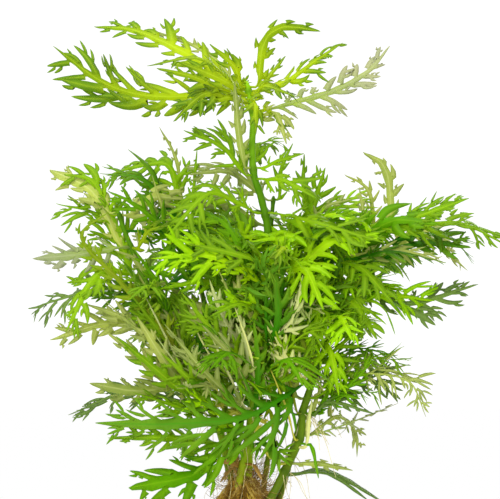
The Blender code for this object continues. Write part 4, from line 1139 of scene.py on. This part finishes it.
def rootlet_lines(count):
    """Rootlets: each starts on a ring: p(t) = p0 + t reach (cos a, sin a, 0) - drop t^1.5 z + ripple.

    The ripple is 1.6 t (sin(5 t + a), cos(6 t + a), 0), t from 0 to 1.
    """
    own = np.random.default_rng(31)
    t = np.linspace(0, 1, ROOTLET_STEPS)[:, None]
    lines = []
    names = list(STEMS)
    for _ in range(count):
        stem = names[own.integers(len(names))]
        height = NODES[stem][own.integers(min(4, len(NODES[stem])))]
        start, radius = stem_at(stem, height)
        angle = own.uniform(0, 2 * np.pi)
        level = np.array([np.cos(angle), np.sin(angle), 0])
        reach, drop = own.uniform(5, 18), min(own.uniform(8, 34), height - ROOTLET_LOWEST)
        ripple = np.concatenate([np.sin(5 * t + angle), np.cos(6 * t + angle), 0 * t], axis=1) * t * 1.6
        lines.append(start + level * (0.5 * radius + reach * t) - np.array([0, 0, drop]) * t**1.5 + ripple)
    return np.array(lines)


root_tubes("aerial_rootlets", rootlet_lines(ROOTLETS),
           np.full((ROOTLETS, ROOTLET_STEPS), ROOTLET_RADIUS) * np.linspace(1.2, 0.6, ROOTLET_STEPS),
           ROOTLET_SIDES, np.full((ROOTLETS, 1), 0.5),
           root_paint("rootlet_pale", (0.42, 0.32, 0.12), (0.62, 0.55, 0.25), (0.80, 0.74, 0.45)))


# FLOOR, LIGHT AND CAMERA
# A white table top that fades into a white room, a large soft lamp in front, one above and one behind,
# and a far camera that looks level at the plant.

# The table top's rings in millimetres, its points round each, and where it starts and ends fading, in metres.
TABLE_RINGS, TABLE_SIDES = (200.0, 600, 1200, 2500), 96
FADE_START, FADE_END = 0.16, 0.5
# The room's brightness on the plant; the eye sees plain white.
ROOM_LIGHT = 1.09
# Each lamp's place in metres and its power in watts. All are square and look at the plant.
LAMP_SIZE, LAMP_AIM = 0.7, (0, 0, 0.15)
LAMPS = {"lamp_front": ((-0.35, -1.7, 0.5), 25), "lamp_above": ((-0.3, -0.1, 1.4), 14),
         "lamp_behind": ((0.6, 1.3, 0.7), 10)}
# How wide the view is at the plant, its middle, and how far the camera stands off.
VIEW_WIDTH, VIEW_MIDDLE, CAMERA_FAR = 0.250, (0.0, 0.15875), 2.5
SENSOR_WIDTH = 36


def floor_disc():
    """A disc: point = r (cos a, sin a, 0), r and a on a grid, closed in the middle."""
    angle = np.linspace(0, 2 * np.pi, TABLE_SIDES, endpoint=False)
    radii = np.array(TABLE_RINGS)
    ring = np.stack([np.cos(angle), np.sin(angle), 0 * angle], axis=-1)
    points = (ring[None] * radii[:, None, None]).reshape(-1, 3)
    index = np.arange(len(points)).reshape(len(radii), -1)
    ahead = np.roll(index, -1, axis=1)
    quads = np.stack([index[:-1], index[1:], ahead[1:], ahead[:-1]], axis=-1).reshape(-1, 4)
    middle = np.full(len(angle), len(points))
    return np.vstack([points, [[0, 0, 0]]]), quads, np.stack([index[0], ahead[0], middle], axis=-1)


def floor_paint():
    """White table top, lit near the plant and fading to the room's plain white further out."""
    paint, tree, shader = new_paint("table_white")
    feed(tree, shader.inputs["Base Color"], (0.9, 0.9, 0.9))
    feed(tree, shader.inputs["Roughness"], 0.9)
    far = tree.nodes.new("ShaderNodeVectorMath")
    far.operation = "LENGTH"
    feed(tree, far.inputs[0], tree.nodes.new("ShaderNodeTexCoord").outputs["Object"])
    fade = tree.nodes.new("ShaderNodeMapRange")
    for socket, value in (("From Min", FADE_START), ("From Max", FADE_END), ("Value", far.outputs["Value"])):
        feed(tree, fade.inputs[socket], value)
    white = tree.nodes.new("ShaderNodeEmission")
    feed(tree, white.inputs["Strength"], 1.0)
    mix_shaders(tree, fade.outputs["Result"], shader.outputs["BSDF"], white.outputs["Emission"])
    return paint


def soft_lamp(name, place, power):
    """A square lamp that looks at the plant."""
    lamp = bpy.data.lights.new(name, "AREA")
    lamp.size = LAMP_SIZE
    lamp.energy = power
    made = bpy.data.objects.new(name, lamp)
    bpy.context.scene.collection.objects.link(made)
    made.location = place
    made.rotation_euler = (Vector(LAMP_AIM) - Vector(place)).to_track_quat("-Z", "Y").to_euler()


table_top = mesh_piece("table_top", *floor_disc(), {}, floor_paint())

world = bpy.data.worlds.new("white_room")
world.use_nodes = True
room = world.node_tree
seen = room.nodes.new("ShaderNodeLightPath").outputs["Is Camera Ray"]
feed(room, room.nodes["Background"].inputs["Color"], (1, 1, 1))
feed(room, room.nodes["Background"].inputs["Strength"], math_node(room, "MAXIMUM", seen, ROOM_LIGHT))
bpy.context.scene.world = world

for name, (place, power) in LAMPS.items():
    soft_lamp(name, place, power)

lens = bpy.data.cameras.new("camera")
lens.sensor_width = SENSOR_WIDTH
lens.lens = SENSOR_WIDTH * CAMERA_FAR / VIEW_WIDTH
lens.clip_end = 20
camera = bpy.data.objects.new("camera", lens)
camera.location = (VIEW_MIDDLE[0], -CAMERA_FAR, VIEW_MIDDLE[1])
camera.rotation_euler = (math.pi / 2, 0, 0)
bpy.context.scene.collection.objects.link(camera)
bpy.context.scene.camera = camera
bpy.context.scene.view_settings.view_transform = "Standard"
